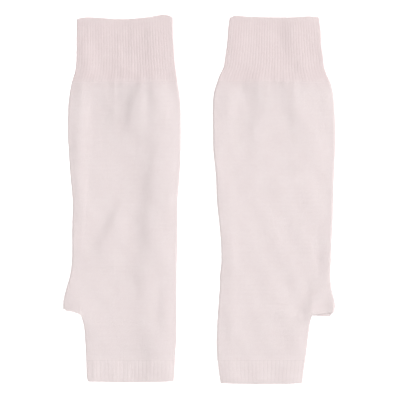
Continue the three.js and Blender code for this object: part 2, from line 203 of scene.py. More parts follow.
LEFT = GlovePlan(
    name="left",
    side=-1,
    outline=(
        Row(y=165, inner=43.5, outer=43.5),
        Row(y=149, inner=43.9, outer=43.8),
        Row(y=134, inner=44.8, outer=43.9),
        Row(y=124, inner=45.4, outer=44.2),
        Row(y=115, inner=46.7, outer=45.4),
        Row(y=106, inner=47.8, outer=48.0),
        Row(y=97, inner=49.1, outer=49.8),
        Row(y=86, inner=50.3, outer=51.2),
        Row(y=62, inner=50.7, outer=51.7),
        Row(y=36, inner=50.4, outer=50.4),
        Row(y=18, inner=49.2, outer=49.0),
        Row(y=0, inner=47.8, outer=47.4),
        Row(y=-27, inner=47.7, outer=47.8),
        Row(y=-56, inner=47.0, outer=48.1),
        Row(y=-69, inner=46.9, outer=49.9),
        Row(y=-81, inner=46.8, outer=53.3),
        Row(y=-90, inner=46.8, outer=55.4),
        Row(y=-99, inner=46.8, outer=55.8),
    ),
    hand=(
        Row(y=-86, inner=46.8, outer=39.6),
        Row(y=-105, inner=46.8, outer=39.4),
        Row(y=-110, inner=46.8, outer=38.1),
        Row(y=-116, inner=46.8, outer=36.9),
        Row(y=-128, inner=46.5, outer=36.0),
        Row(y=-139, inner=45.6, outer=35.4),
        Row(y=-150, inner=45.3, outer=35.0),
        Row(y=-161, inner=44.8, outer=34.6),
        Row(y=-164.5, inner=44.3, outer=33.6),
    ),
    arm_edge=(
        Edge(across=-43, y=164.8),
        Edge(across=-37, y=166.7),
        Edge(across=-21, y=164.6),
        Edge(across=-5, y=163.1),
        Edge(across=7, y=162.9),
        Edge(across=17, y=163.5),
        Edge(across=38, y=164.2),
        Edge(across=44, y=162.7),
    ),
    hand_edge=(
        Edge(across=-44, y=-163.9),
        Edge(across=-5, y=-164.8),
        Edge(across=34, y=-164.0),
    ),
    thumb_rim=LEFT_THUMB_RIM,
    thumb_far_rim=LEFT_THUMB_RIM,
    folds=(
        Fold(
            path=((-14.5, 112, 0), (-11, 103, 0.8), (-4.5, 89, 1), (-1.8, 69, 0.95), (-2.4, 54, 0)),
            width=9,
            step=2.9,
        ),
        Fold(path=((12, 112, 0), (11, 101, 1), (9.5, 76, 1), (8, 60, 0)), width=12, step=1.5),
        Fold(
            path=((-24, 116, 0), (-24, 105, 0.8), (-23.4, 85, 1), (-23.4, 70, 0.9), (-24, 56, 0)),
            width=8,
            step=1.7,
        ),
        Fold(path=((18, 100, 0), (16, 85, 1), (13, 60, 1), (8, 38, 0)), width=22, step=1.4),
        Fold(
            path=(
                (34, 160, 0), (34.5, 145, 0.45), (35, 118, 0.6), (37.5, 104, 1), (39.5, 88, 0.8),
                (41, 60, 0.9), (41, 0, 0.6), (40.5, -25, 0.3), (41, -50, 0),
            ),
            width=6,
            height=0.8,
        ),
        Fold(
            path=(
                (-25, 62, 0), (-24, 50, 0.8), (-21.5, 27, 0.85), (-19.8, 12, 1), (-17.5, -14, 1),
                (-16, -40, 0.7), (-13, -62, 0.45), (-10, -90, 0.38), (-11.5, -115, 0.45),
                (-17, -127, 0.55), (-19.8, -145, 0.65), (-20, -163, 0.4),
            ),
            width=13.5,
            step=3.0,
        ),
        Fold(
            path=(
                (-54.5, 80, 0), (-54, 55, 0.6), (-51.5, 0, 0.8), (-50.5, -60, 0.8), (-50.5, -100, 0.8),
                (-49.5, -130, 1), (-48.5, -166, 1),
            ),
            width=7,
            height=-1.5,
        ),
        Fold(path=((12, 62, 0), (4, 40, 1), (-2, 20, 1), (-6, 4, 0)), width=19, step=1.2),
        Fold(path=((45.5, 72, 0), (46, 50, 1), (45.5, 16, 1), (44.5, 0, 0)), width=6, step=0.6),
        Fold(path=((-29, 98, 0), (-29.5, 86, 1), (-29.5, 52, 1), (-29, 38, 0)), width=9, step=0.6),
        Fold(path=((24, -60, 0), (22, -68, 1), (20, -82, 1), (18, -94, 0)), width=12, step=-0.6),
        Fold(path=((24, -126, 0), (24, -136, 1), (24, -166, 1)), width=11, step=-0.6),
        Fold(path=((-0.5, -140, 0), (-0.5, -150, 1), (-0.5, -166, 1)), width=6, step=0.45),
        Fold(path=((-4, 166, 0), (-4, 155, 1), (-4, 122, 1), (-5, 108, 0)), width=6, step=0.4),
        Fold(
            path=(
                (-10.5, 98, 0), (-11.5, 88, 0.9), (-11.5, 74, 0.8), (-11, 62, 0.6), (-11.5, 50, 1),
                (-11, 38, 1), (-10, 26, 0),
            ),
            width=7,
            step=0.75,
        ),
        Fold(path=((-34, -70, 0), (-34, -84, 1), (-34, -106, 1), (-33, -118, 0)), width=7, step=0.6),
        Fold(path=((46, -62, 0), (50, -74, 0.8), (53, -86, 1), (54, -98, 1)), width=19, height=1.5),
        Fold(path=((-7, -66, 0), (-8.5, -74, 1), (-11.2, -86, 1), (-12.5, -94, 0)), width=2.4, height=-0.2),
        Fold(
            path=(
                (2, 6, 0), (8, -6.7, 0.9), (13.5, -18.4, 1), (18.9, -29.2, 0.9), (24.3, -39, 0.55),
                (31, -52, 0),
            ),
            width=8.5,
            step=2.0,
        ),
        Fold(
            path=((-31.5, -74, 0), (-31.5, -88, 1), (-31.5, -108, 1), (-31.5, -122, 0)),
            width=5,
            step=0.35,
        ),
        Fold(path=((-20, 166, 0), (-20, 155, 0.8), (-20.5, 130, 1), (-20, 112, 0)), width=13, step=1.6),
        Fold(path=((8, 156, 0), (7.5, 145, 1), (7, 122, 1), (6, 110, 0)), width=10, step=0.9),
        Fold(path=((19.8, 130, 0), (19.8, 121, 1), (19.8, 112, 0)), width=5, step=0.45),
        Fold(path=((31, -138, 0), (30, -148, 1), (29.5, -158, 1), (29.5, -166, 0)), width=3.5, step=0.5),
        Fold(path=((8, -70, 0), (6, -82, 1), (4, -95, 0)), width=4, step=0.35),
    ),
    rib_press=(
        (-46, 0.55), (-38, 0.6), (-28, 1.0), (5, 1.0), (16, 0.8), (30, 0.75), (46, 0.8),
    ),
    rib_fade=151.0,
    curl=None,
    band_ribs=22,
    seed=11,
)

RIGHT = GlovePlan(
    name="right",
    side=1,
    outline=(
        Row(y=165, inner=40.0, outer=41.2),
        Row(y=154, inner=41.4, outer=42.7),
        Row(y=140, inner=42.4, outer=43.5),
        Row(y=129, inner=43.9, outer=45.0),
        Row(y=120, inner=45.3, outer=45.9),
        Row(y=113, inner=48.5, outer=48.1),
        Row(y=106, inner=51.2, outer=51.2),
        Row(y=97, inner=53.9, outer=53.6),
        Row(y=86, inner=55.0, outer=54.8),
        Row(y=62, inner=55.0, outer=55.8),
        Row(y=45, inner=54.6, outer=55.6),
        Row(y=22, inner=52.3, outer=54.7),
        Row(y=0, inner=51.4, outer=53.9),
        Row(y=-23, inner=49.1, outer=53.4),
        Row(y=-41, inner=47.6, outer=52.3),
        Row(y=-56, inner=47.3, outer=51.8),
        Row(y=-68, inner=48.5, outer=51.3),
        Row(y=-81, inner=48.9, outer=52.5),
        Row(y=-92, inner=50.0, outer=55.2),
        Row(y=-98, inner=50.3, outer=55.4),
        Row(y=-104, inner=50.4, outer=54.1),
    ),
    hand=(
        Row(y=-86, inner=49.2, outer=34.6),
        Row(y=-105, inner=50.6, outer=34.5),
        Row(y=-110, inner=51.0, outer=33.2),
        Row(y=-119, inner=51.3, outer=31.9),
        Row(y=-130, inner=51.7, outer=30.5),
        Row(y=-141, inner=51.2, outer=29.2),
        Row(y=-150, inner=50.3, outer=28.0),
        Row(y=-159, inner=49.2, outer=26.8),
        Row(y=-166, inner=48.2, outer=26.1),
    ),
    arm_edge=(
        Edge(across=-40, y=164.2),
        Edge(across=-36, y=165.6),
        Edge(across=-25, y=165.2),
        Edge(across=2, y=164.4),
        Edge(across=18, y=164.5),
        Edge(across=30, y=165.2),
        Edge(across=41, y=164.6),
    ),
    hand_edge=(
        Edge(across=-48, y=-165.6),
        Edge(across=-10, y=-166.5),
        Edge(across=26, y=-165.7),
    ),
    thumb_rim=(
        Edge(across=35, y=-104.0),
        Edge(across=39, y=-103.6),
        Edge(across=46, y=-102.7),
        Edge(across=50, y=-102.3),
        Edge(across=54, y=-102.2),
    ),
    thumb_far_rim=(
        Edge(across=35, y=-104.4),
        Edge(across=45, y=-105.0),
        Edge(across=52, y=-104.4),
        Edge(across=54, y=-102.0),
    ),
    folds=(
        Fold(path=((11, 170, 0), (11, 160, 0.9), (10.9, 135, 0.6), (11, 116, 0)), width=11, step=1.1),
        Fold(path=((-37.7, 146, 0), (-37.7, 132, 1), (-38, 118, 0)), width=5, step=0.15),
        Fold(path=((-36, 124, 0), (-37, 114, 1), (-38, 100, 1), (-38, 90, 0)), width=9, step=-0.6),
        Fold(path=((-44, 126, 0), (-47, 112, 1), (-49.5, 98, 1), (-50.5, 80, 0)), width=7, step=-0.8),
        Fold(
            path=((20, 58, 0), (19, 46, 1), (16, 20, 0.8), (14, -8, 0.8), (14, -24, 0)),
            width=11,
            step=0.55,
        ),
        Fold(path=((20.8, 128, 0), (20.8, 119, 1), (20.8, 108, 0)), width=4.5, step=0.5),
        Fold(path=((34, -112, 0), (32, -130, 1), (29.5, -166, 1)), width=6, height=-1.1),
        Fold(
            path=(
                (-23, 112, 0), (-20.5, 100, 0.7), (-16.5, 86, 1), (-20, 66, 1), (-23, 48, 0.5),
                (-19, 26, 0.4), (-12, 14, 0),
            ),
            width=11,
            step=1.3,
        ),
        Fold(
            path=(
                (10, 116, 0), (11, 106, 0.35), (13.6, 90, 0.75), (16.3, 70, 0.9), (17.5, 54, 0.5),
                (17.5, 38, 0),
            ),
            width=10,
            step=1.4,
        ),
        Fold(path=((-14, 17, 0), (-4, 21, 1), (16, 27, 1), (28, 31, 0)), width=5, height=-0.4),
        Fold(path=((-12, 8, 0), (0, 12, 1), (16, 16, 1), (26, 18, 0)), width=6, height=0.6),
        Fold(
            path=(
                (-41, 14, 0), (-39.5, -8, 0.7), (-38.5, -50, 1), (-38.5, -90, 0.7), (-38.5, -130, 0.4),
                (-38, -160, 0.3),
            ),
            width=6,
            height=0.6,
        ),
        Fold(path=((-41, 106, 0), (-41, 94, 1), (-41, 82, 1), (-42, 68, 0)), width=7, height=0.7),
        Fold(
            path=((35, -66, 0), (33.5, -78, 0.7), (31.8, -92, 1), (30.5, -100, 1), (29, -108, 0)),
            width=9,
            step=1.7,
        ),
        Fold(path=((11, -111, 0), (18, -105, 1), (24, -101.5, 0.8), (29, -98, 0)), width=5, height=-0.5),
        Fold(path=((41, -28, 0), (43.5, -45, 1), (44, -64, 1), (44, -86, 0)), width=9, step=0.8),
        Fold(path=((43, 110, 0), (44, 99, 1), (45, 86, 1), (45, 72, 0)), width=6, step=0.8),
        Fold(path=((36, -46, 0), (40, -54, 1), (45, -62, 0)), width=3.5, height=-0.4),
        Fold(path=((39, -88, 0), (44, -97, 1), (47, -107, 1)), width=11, height=-1.3),
    ),
    rib_press=(
        (-46, 0.8), (-20, 0.9), (8, 1.0), (25, 0.9), (46, 0.7),
    ),
    rib_fade=162.0,
    curl=Fold(
        path=((36, -101, 0), (42, -104.6, 1), (51, -104.6, 1), (56, -103.5, 0.6)),
        width=4.2,
        height=1.75,
    ),
    band_ribs=21,
    seed=23,
)

# The layer that lies on the floor has shallow creases of its own
UNDER_FOLDS = (
    Fold(path=((-14, 96, 0), (-10, 80, 1), (-16, 30, 0.8), (-12, -10, 0)), width=5, height=0.35),
    Fold(path=((22, 70, 0), (16, 40, 1), (8, -20, 0.9), (2, -50, 0)), width=5.5, height=0.35),
    Fold(path=((30, 20, 0), (34, 0, 1), (30, -50, 0)), width=5, height=0.3),
    Fold(path=((-30, -40, 0), (-27, -60, 1), (-30, -110, 0.8), (-27, -138, 0)), width=5, height=0.35),
    Fold(path=((14, -70, 0), (8, -90, 1), (4, -125, 0.8), (6, -140, 0)), width=4.5, height=0.35),
)


class SmoothLine:
    """A smooth line through the rows of a table."""

    def __init__(self, pairs: Iterable[tuple[float, float]]) -> None:
        """Keeps the rows in order and works out the line's slope at each.

        Args:
            pairs: Places along the line, each with the line's value there.
        """
        rows = sorted(pairs)
        self.keys = [key for key, _ in rows]
        self.values = [value for _, value in rows]
        slopes = [(b[1] - a[1]) / (b[0] - a[0]) for a, b in pairwise(rows)]
        middle = [(before + after) / 2 for before, after in pairwise(slopes)]
        self.slopes = [slopes[0], *middle, slopes[-1]]

    def at(self, key: float) -> float:
        """The line's value at a place, held level past its ends.

        Args:
            key: The place along the line.

        Returns:
            The value there.
        """
        key = clamp(key, self.keys[0], self.keys[-1])
        i = clamp(bisect_right(self.keys, key) - 1, 0, len(self.keys) - 2)
        gap = self.keys[i + 1] - self.keys[i]
        t = (key - self.keys[i]) / gap
        start, end = self.values[i], self.values[i + 1]
        bend_in = gap * self.slopes[i] - (end - start)
        bend_out = (end - start) - gap * self.slopes[i + 1]
        return mix(start, end, t) + t * (1 - t) * ((1 - t) * bend_in + t * bend_out)


def edge_line(edges: Sequence[Edge]) -> SmoothLine:
    """The smooth line along a free edge."""
    return SmoothLine((edge.across, edge.y) for edge in edges)


def nominal(edges: Sequence[Edge]) -> float:
    """The mean station of a free edge."""
    return sum(edge.y for edge in edges) / len(edges)


@dataclass
class Unevenness:
    """The slight waviness of soft cloth: a few long waves and the puckers below the arm rib."""

    seed: int
    waves: int = 6
    height: float = 0.055
    shortest_across: float = 22.0
    shortest_along: float = 45.0
    pucker_height: float = 0.09
    pucker_pitch: float = 9.5
    pucker_reach: float = 8.0
    pucker_offset: float = 3.0
    drift: float = 1.7
    drift_length: float = 13.0
    parts: list[tuple[float, float, float]] = field(default_factory=list)

    def __post_init__(self) -> None:
        """Draws the waves: turns per millimetre across and along, and a phase."""
        draw = random.Random(self.seed)
        for _ in range(self.waves):
            across = draw.uniform(-1, 1) / self.shortest_across
            along = draw.uniform(-1, 1) / self.shortest_along
            self.parts.append((across, along, draw.uniform(0, math.tau)))

    def lift(self, across: float, y: float) -> float:
        """How far the layer stands off its plain form at a point, in millimetres.

        Args:
            across: The place across the glove, in millimetres.
            y: The station along the glove, in millimetres.

        Returns:
            The rise, in millimetres.
        """
        wavy = sum(math.sin(math.tau * (a * across + b * y) + phase) for a, b, phase in self.parts)
        turn = self.drift * math.sin(across / self.drift_length) + math.tau * across / self.pucker_pitch
        fade = math.exp(-abs(y - CUFF_SEAM + self.pucker_offset) / self.pucker_reach)
        return self.height * wavy + self.pucker_height * math.sin(turn) * fade


@dataclass
class GloveForm:
    """The laid form of one glove, read from its plan."""

    plan: GlovePlan

    def __post_init__(self) -> None:
        """Makes the smooth lines of the outline and of the free edges."""
        plan = self.plan
        self.inner = SmoothLine((row.y, row.inner) for row in plan.outline)
        self.outer = SmoothLine((row.y, row.outer) for row in plan.outline)
        self.hand_inner = SmoothLine((row.y, row.inner) for row in plan.hand)
        self.hand_outer = SmoothLine((row.y, row.outer) for row in plan.hand)
        self.arm_rim = edge_line(plan.arm_edge)
        self.hand_rim = edge_line(plan.hand_edge)
        self.thumb_rim = edge_line(plan.thumb_rim)
        self.thumb_far_rim = edge_line(plan.thumb_far_rim)
        self.press = SmoothLine(plan.rib_press)
        self.unevenness = Unevenness(plan.seed)

    def span(self, y: float) -> tuple[float, float]:
        """From where to where the whole cloth reaches at a station, the thumb included.

        Args:
            y: The station along the glove, in millimetres.

        Returns:
            The ends of the cloth across the glove, in millimetres.
        """
        below = smooth((CROTCH_FOOT - y) / CROTCH_LENGTH)
        inner = mix(self.inner.at(y), self.hand_inner.at(y), below)
        outer = mix(self.outer.at(y), self.hand_outer.at(y), below)
        return -inner, outer

    def loft(self, across: float, y: float) -> float:
        """The height of the top layer's outer face above the floor.

        Args:
            across: The place across the glove, in millimetres.
            y: The station along the glove, in millimetres.

        Returns:
            The height, in millimetres.
        """
        low, high = self.span(y)
        share = min(abs(across - (low + high) / 2) / ((high - low) / 2), 1.0)
        loft = mix(MIDDLE_LOFT, EDGE_LOFT, share**LOFT_FALL_POWER)
        loft += sum(fold.lift(across, y, self.plan.side) for fold in self.plan.folds)
        loft += self.unevenness.lift(across, y)
        return max(loft, LEAST_LOFT)

    def under(self, across: float, y: float) -> float:
        """How far the under layer's creases stand off the floor."""
        folds = (*UNDER_FOLDS, self.plan.curl) if self.plan.curl else UNDER_FOLDS
        return sum(fold.lift(across, y, self.plan.side) for fold in folds)


@dataclass
class Stretch:
    """Part of a ring: the numbers of its points and the wale at each, both ends included."""

    points: list[int]
    wales: list[float]


@dataclass
class Ring:
    """One ring round a flattened tube, in order round it."""

    under: Stretch
    outer_fold: Stretch
    over: Stretch
    inner_fold: Stretch
    course: float
    creases: tuple[int | None, ...] = (None, None)

    def stretches(self) -> tuple[Stretch, ...]:
        """The stretches in their order round the tube."""
        return (self.under, self.outer_fold, self.over, self.inner_fold)

    def loop(self) -> list[int]:
        """The numbers of all the points in order, each once."""
        return [point for stretch in self.stretches() for point in stretch.points[:-1]]


@dataclass
class Section:
    """What one ring is made from."""

    y: float
    low: float
    high: float
    under: list[float]
    over: list[float]
    y_at: Callable[[float, float], float]
    high_radius: float = FOLD_RADIUS
    low_radius: float = FOLD_RADIUS
    rib: float = 0.0


@dataclass
class Knit:
    """How a piece is knitted: its wales in each layer and fold, and the wales in a rib."""

    layer_wales: int = LAYER_WALES
    fold_wales: int = FOLD_WALES
    wales_in_rib: int = 0
    rib_depth: float = 0.075
    groove_width: float = 0.25
    crown: float = 0.14
    fold_cells: int = 10

    def groove(self, wale: float, strength: float) -> float:
        """How deep the face lies under the ribs' crests at a wale.

        Args:
            wale: The place round the cloth, counted in wales.
            strength: How far the ribs stand out, from 0 to 1.

        Returns:
            The depth, in millimetres.
        """
        if not self.wales_in_rib or strength == 0.0:
            return 0.0
        turn = wale / self.wales_in_rib
        away = abs(turn - round(turn)) * self.wales_in_rib / self.groove_width
        hollow = 0.5 + 0.5 * math.cos(math.tau * turn)
        return self.rib_depth * strength * mix(math.exp(-away * away), hollow, self.crown)


RIB_CUTS = (0.0, 0.06, 0.13, 0.3, 0.5, 0.7, 0.87, 0.94)
UNDER_RIB_CUTS = (0.0, 0.1, 0.5, 0.9)


def rib_shares(ribs: int, cuts: Sequence[float]) -> list[float]:
    """Places across a layer, close together at the grooves between its ribs."""
    return [(rib + cut) / ribs for rib in range(ribs) for cut in cuts] + [1.0]


@dataclass(frozen=True)
class Patch:
    """A small piece of cloth that fibres stand on."""

    area: float
    corners: tuple[Vector, ...]
    facing: Vector


class KnitCloth:
    """A thick sheet: pairs of outer and inner points, joined by cells and closed at its ends."""

    LIP_TURNS = (0.25, 0.5, 0.75)
    LIP_TILT = 0.4

    def __init__(self, form: GloveForm, knit: Knit) -> None:
        """Starts an empty cloth.

        Args:
            form: The glove that it belongs to.
            knit: How it is knitted.
        """
        self.form = form
        self.knit = knit
        self.wall = RIB_WALL if knit.wales_in_rib else WALL
        self.outer: list[Vector] = []
        self.inner: list[Vector] = []
        self.cells: list[tuple[tuple[int, ...], tuple[tuple[float, float], ...]]] = []
        self.folded: list[bool] = []
        self.free_loop: list[int] = []
        self.lips: dict[int, float] = {}
        self.creases: set[tuple[int, int]] = set()

    def place(self, across: float, y: float, z: float) -> Vector:
        """A point of the glove in the frame's axes, still in millimetres."""
        side = self.form.plan.side
        return Vector((side * (GLOVE_MIDDLE + across), y, z))

    def pair(self, outer: Point, inner: Point) -> int:
        """Adds a pair of points and gives its number.

        Args:
            outer: The point of the outer face.
            inner: The point of the inner face.

        Returns:
            The pair's number.
        """
        self.outer.append(self.place(*outer))
        self.inner.append(self.place(*inner))
        return len(self.outer) - 1

    def lean_inner(self, point: int, distance: float) -> None:
        """Moves the inner point of a pair sideways, away from the thumb."""
        self.inner[point].x -= self.form.plan.side * distance

    def layer(self, section: Section, shares: list[float], wales: list[float], rise: int) -> list[int]:
        """Adds one layer's points.

        Args:
            section: The ring's section.
            shares: The places of the points between the folds.
            wales: The wale at each.
            rise: 0 for the under layer and 1 for the top one.

        Returns:
            The points' numbers, from the inner side to the thumb side.
        """
        start, end = section.low + section.low_radius, section.high - section.high_radius
        inner_start = section.low + max(section.low_radius, self.wall)
        inner_end = section.high - max(section.high_radius, self.wall)
        points = []
        for share, wale in zip(shares, wales):
            across = mix(start, end, share)
            y = section.y_at(across, rise)
            groove = self.knit.groove(wale, section.rib * self.form.press.at(across))
            inside = clamp(across, inner_start, inner_end)
            if rise:
                top = self.form.loft(across, y) + RIB_HEIGHT * section.rib
                points.append(self.pair((across, y, top - groove), (inside, y, top - self.wall)))
            else:
                base = self.form.under(across, y)
                points.append(self.pair((across, y, base + groove), (inside, y, base + self.wall)))
        return points

    def fold(
        self,
        edge: float,
        radius: float,
        outward: int,
        loft: float,
        y_at: Callable[[float, float], float],
        wales: list[float],
        rib: float = 0.0,
    ) -> list[int]:
        """Adds the points round a fold, from the under layer upwards, without its two ends.

        Args:
            edge: Where the fold reaches to, across.
            radius: Its radius across.
            outward: 1 at the thumb side and -1 at the inner side.
            loft: The height of the top layer at the fold.
            y_at: The station at a place across and a share of the height.
            wales: The wale at each point and at the two ends.
            rib: The strength of the ribs.

        Returns:
            The points' numbers.
        """
        cells = self.knit.fold_cells
        inner_radius = max(radius - self.wall, 0.0)
        points = []
        for i in range(1, cells):
            angle = math.pi * (i / cells - 0.5)
            bulge = math.cos(angle) ** FOLD_SQUARENESS
            rise = math.copysign(abs(math.sin(angle)) ** FOLD_SQUARENESS, angle)
            groove = self.knit.groove(wales[i], rib)
            y = y_at(edge, (rise + 1) / 2)
            outer_across = edge + outward * (radius * (bulge - 1) - groove * bulge)
            inner_across = edge + outward * (inner_radius * (bulge - 1) - self.wall)
            outer_z = loft / 2 * (1 + rise) - groove * rise
            inner_z = loft / 2 + (loft / 2 - self.wall) * rise
            points.append(self.pair((outer_across, y, outer_z), (inner_across, y, inner_z)))
        return points

    def ring(self, section: Section) -> Ring:
        """Adds a whole ring of points.

        Args:
            section: Where the cloth is cut, and its sizes there.

        Returns:
            The ring.
        """
        layer, fold, cells = self.knit.layer_wales, self.knit.fold_wales, self.knit.fold_cells
        under_wales = [share * layer for share in section.under]
        over_wales = [2 * layer + fold - share * layer for share in section.over]
        outer_wales = steps(layer, layer + fold, cells)
        inner_wales = steps(2 * layer + fold, 2 * layer + 2 * fold, cells)
        under = self.layer(section, section.under, under_wales, 0)
        over = self.layer(section, section.over, over_wales, 1)
        start, end = section.low + section.low_radius, section.high - section.high_radius
        lifted = RIB_HEIGHT * section.rib
        outer_loft = self.form.loft(end, section.y) + lifted
        inner_loft = self.form.loft(start, section.y) + lifted
        outer_fold = self.fold(
            section.high, section.high_radius, 1, outer_loft, section.y_at, outer_wales, section.rib
        )
        inner_fold = self.fold(
            section.low, section.low_radius, -1, inner_loft, section.y_at, inner_wales[::-1], section.rib
        )
        return Ring(
            under=Stretch(under, under_wales),
            outer_fold=Stretch([under[-1], *outer_fold, over[-1]], outer_wales),
            over=Stretch(over[::-1], over_wales[::-1]),
            inner_fold=Stretch([over[0], *inner_fold[::-1], under[0]], inner_wales),
            course=(CUFF_SEAM - section.y) / COURSE_HEIGHT,
            creases=(
                over[-1] if section.high_radius < UPRIGHT_RADIUS else None,
                over[0] if section.low_radius < UPRIGHT_RADIUS else None,
            ),
        )

    def join(self, rings: Sequence[Ring]) -> None:
        """Joins rings in order, from the arm towards the fingers.

        Args:
            rings: The rings, each from a section of the same tube.
        """
        for upper, lower in pairwise(rings):
            for above, below in zip(upper.creases, lower.creases):
                if above is not None and below is not None:
                    self.creases.add((min(above, below), max(above, below)))
            for number, (above, below) in enumerate(zip(upper.stretches(), lower.stretches())):
                for i in range(len(above.points) - 1):
                    self.folded.append(number % 2 == 1)
                    corners = (
                        (above.points[i], above.wales[i], upper.course),
                        (above.points[i + 1], above.wales[i + 1], upper.course),
                        (below.points[i + 1], below.wales[i + 1], lower.course),
                        (below.points[i], below.wales[i], lower.course),
                    )
                    self.cell(corners)

    def cell(self, corners: tuple[tuple[int, float, float], ...]) -> None:
        """Adds a four-sided cell, turned so that its outer face looks out.

        Args:
            corners: The pair's number, the wale and the course of each corner.
        """
        if self.form.plan.side < 0:
            corners = corners[::-1]
        self.cells.append((tuple(c[0] for c in corners), tuple((c[1], c[2]) for c in corners)))

    def free_end(self, ring: Ring, outward: int) -> None:
        """Marks a ring as a free edge, which gets a round lip.

        Args:
            ring: The ring at the edge.
            outward: 1 where the cloth ends towards the arm and -1 towards the fingers.
        """
        self.free_loop = ring.loop()
        for point in self.free_loop:
            self.lips[point] = outward

    def patches(self, least_height: float) -> tuple[list[Patch], list[Patch]]:
        """The patches that fibres can stand on.

        Args:
            least_height: The height that a patch has to reach.

        Returns:
            Those of the top layer, and those of the folds and the free edge.
        """
        surface, edges = [], []
        for (points, _), folded in zip(self.cells, self.folded):
            corners = tuple(self.outer[point] for point in points)
            normal = (corners[2] - corners[0]).cross(corners[3] - corners[1])
            if max(corner.z for corner in corners) > least_height and normal.length > 0:
                patch = Patch(normal.length / 2, corners, normal.normalized())
                (edges if folded else surface).append(patch)
        for start, end in zip(self.free_loop, self.free_loop[1:] + self.free_loop[:1]):
            tips = []
            for point in (end, start):
                centre = (self.outer[point] + self.inner[point]) / 2
                reach = (self.outer[point] - centre).length
                tips.append(centre + Vector((0, self.lips[point] * reach, 0)))
            corners = (self.outer[start], self.outer[end], *tips)
            area = (corners[1] - corners[0]).length * self.wall
            facing = Vector((0, self.lips[start], self.LIP_TILT)).normalized()
            edges.append(Patch(area, corners, facing))
        return surface, edges

    def build(self, name: str, material: bpy.types.Material) -> bpy.types.Object:
        """Makes the mesh.

        Args:
            name: The piece's name.
            material: Its finish.

        Returns:
            The new object.
        """
        places = [*self.outer, *self.inner]
        inside = len(self.outer)
        faces: list[tuple[int, ...]] = []
        corners: list[tuple[float, float]] = []
        edges: dict[tuple[int, int], tuple[tuple[float, float], tuple[float, float]]] = {}
        for points, stitches in self.cells:
            faces.append(points)
            corners.extend(stitches)
            faces.append(tuple(inside + point for point in reversed(points)))
            corners.extend(reversed(stitches))
            for i in range(4):
                edges[(points[i], points[(i + 1) % 4])] = (stitches[i], stitches[(i + 1) % 4])
        lip_points: dict[int, list[int]] = {}
        sharp = set(self.creases)
        for (start, end), (start_stitch, end_stitch) in edges.items():
            if (end, start) in edges:
                continue
            tracks = []
            for point in (end, start):
                if point not in lip_points:
                    lip_points[point] = self.lip(point, inside, places)
                tracks.append(lip_points[point])
            is_lip = start in self.lips and end in self.lips
            for (a, b), (d, c) in zip(pairwise(tracks[0]), pairwise(tracks[1])):
                faces.append((a, d, c, b))
                corners.extend((end_stitch, start_stitch, start_stitch, end_stitch))
            if not is_lip:
                sharp.add((min(start, end), max(start, end)))
                sharp.add((inside + min(start, end), inside + max(start, end)))
        return make_mesh(name, places, faces, corners, sharp, material)

    def lip(self, point: int, inside: int, places: list[Vector]) -> list[int]:
        """The points from a pair's outer point to its inner one, round the lip where there is one.

        Args:
            point: The pair's number.
            inside: The number of the first inner point.
            places: All the places so far, which get the lip's points added.

        Returns:
            The points' numbers.
        """
        track = [point]
        if point in self.lips:
            centre = (self.outer[point] + self.inner[point]) / 2
            arm = self.outer[point] - centre
            outward = Vector((0, self.lips[point] * arm.length, 0))
            for turn in self.LIP_TURNS:
                angle = math.pi * turn
                places.append(centre + arm * math.cos(angle) + outward * math.sin(angle))
                track.append(len(places) - 1)
        track.append(inside + point)
        return track


def make_mesh(
    name: str,
    places: Sequence[Vector],
    faces: Sequence[tuple[int, ...]],
    corners: Sequence[tuple[float, float]],
    sharp: set[tuple[int, int]],
    material: bpy.types.Material,
) -> bpy.types.Object:
    """Makes a smooth mesh object from places in millimetres.

    Args:
        name: The piece's name.
        places: Its points.
        faces: The points' numbers for each face.
        corners: The stitch coordinates of each face's corners, or none.
        sharp: Pairs of points that have a hard edge between them.
        material: Its finish.

    Returns:
        The new object, linked to the scene.
    """
    mesh = bpy.data.meshes.new(name)
    mesh.from_pydata([place * MM for place in places], [], faces)
    mesh.shade_smooth()
    if corners:
        layer = mesh.uv_layers.new(name=STITCH_MAP)
        layer.data.foreach_set("uv", [number for corner in corners for number in corner])
    for edge in mesh.edges:
        if (min(edge.vertices), max(edge.vertices)) in sharp:
            edge.use_edge_sharp = True
    mesh.materials.append(material)
    mesh.update()
    made = bpy.data.objects.new(name, mesh)
    bpy.context.scene.collection.objects.link(made)
    return made


class Blend(Enum):
    """How two colours are put together."""

    MIX = "MIX"
    MULTIPLY = "MULTIPLY"


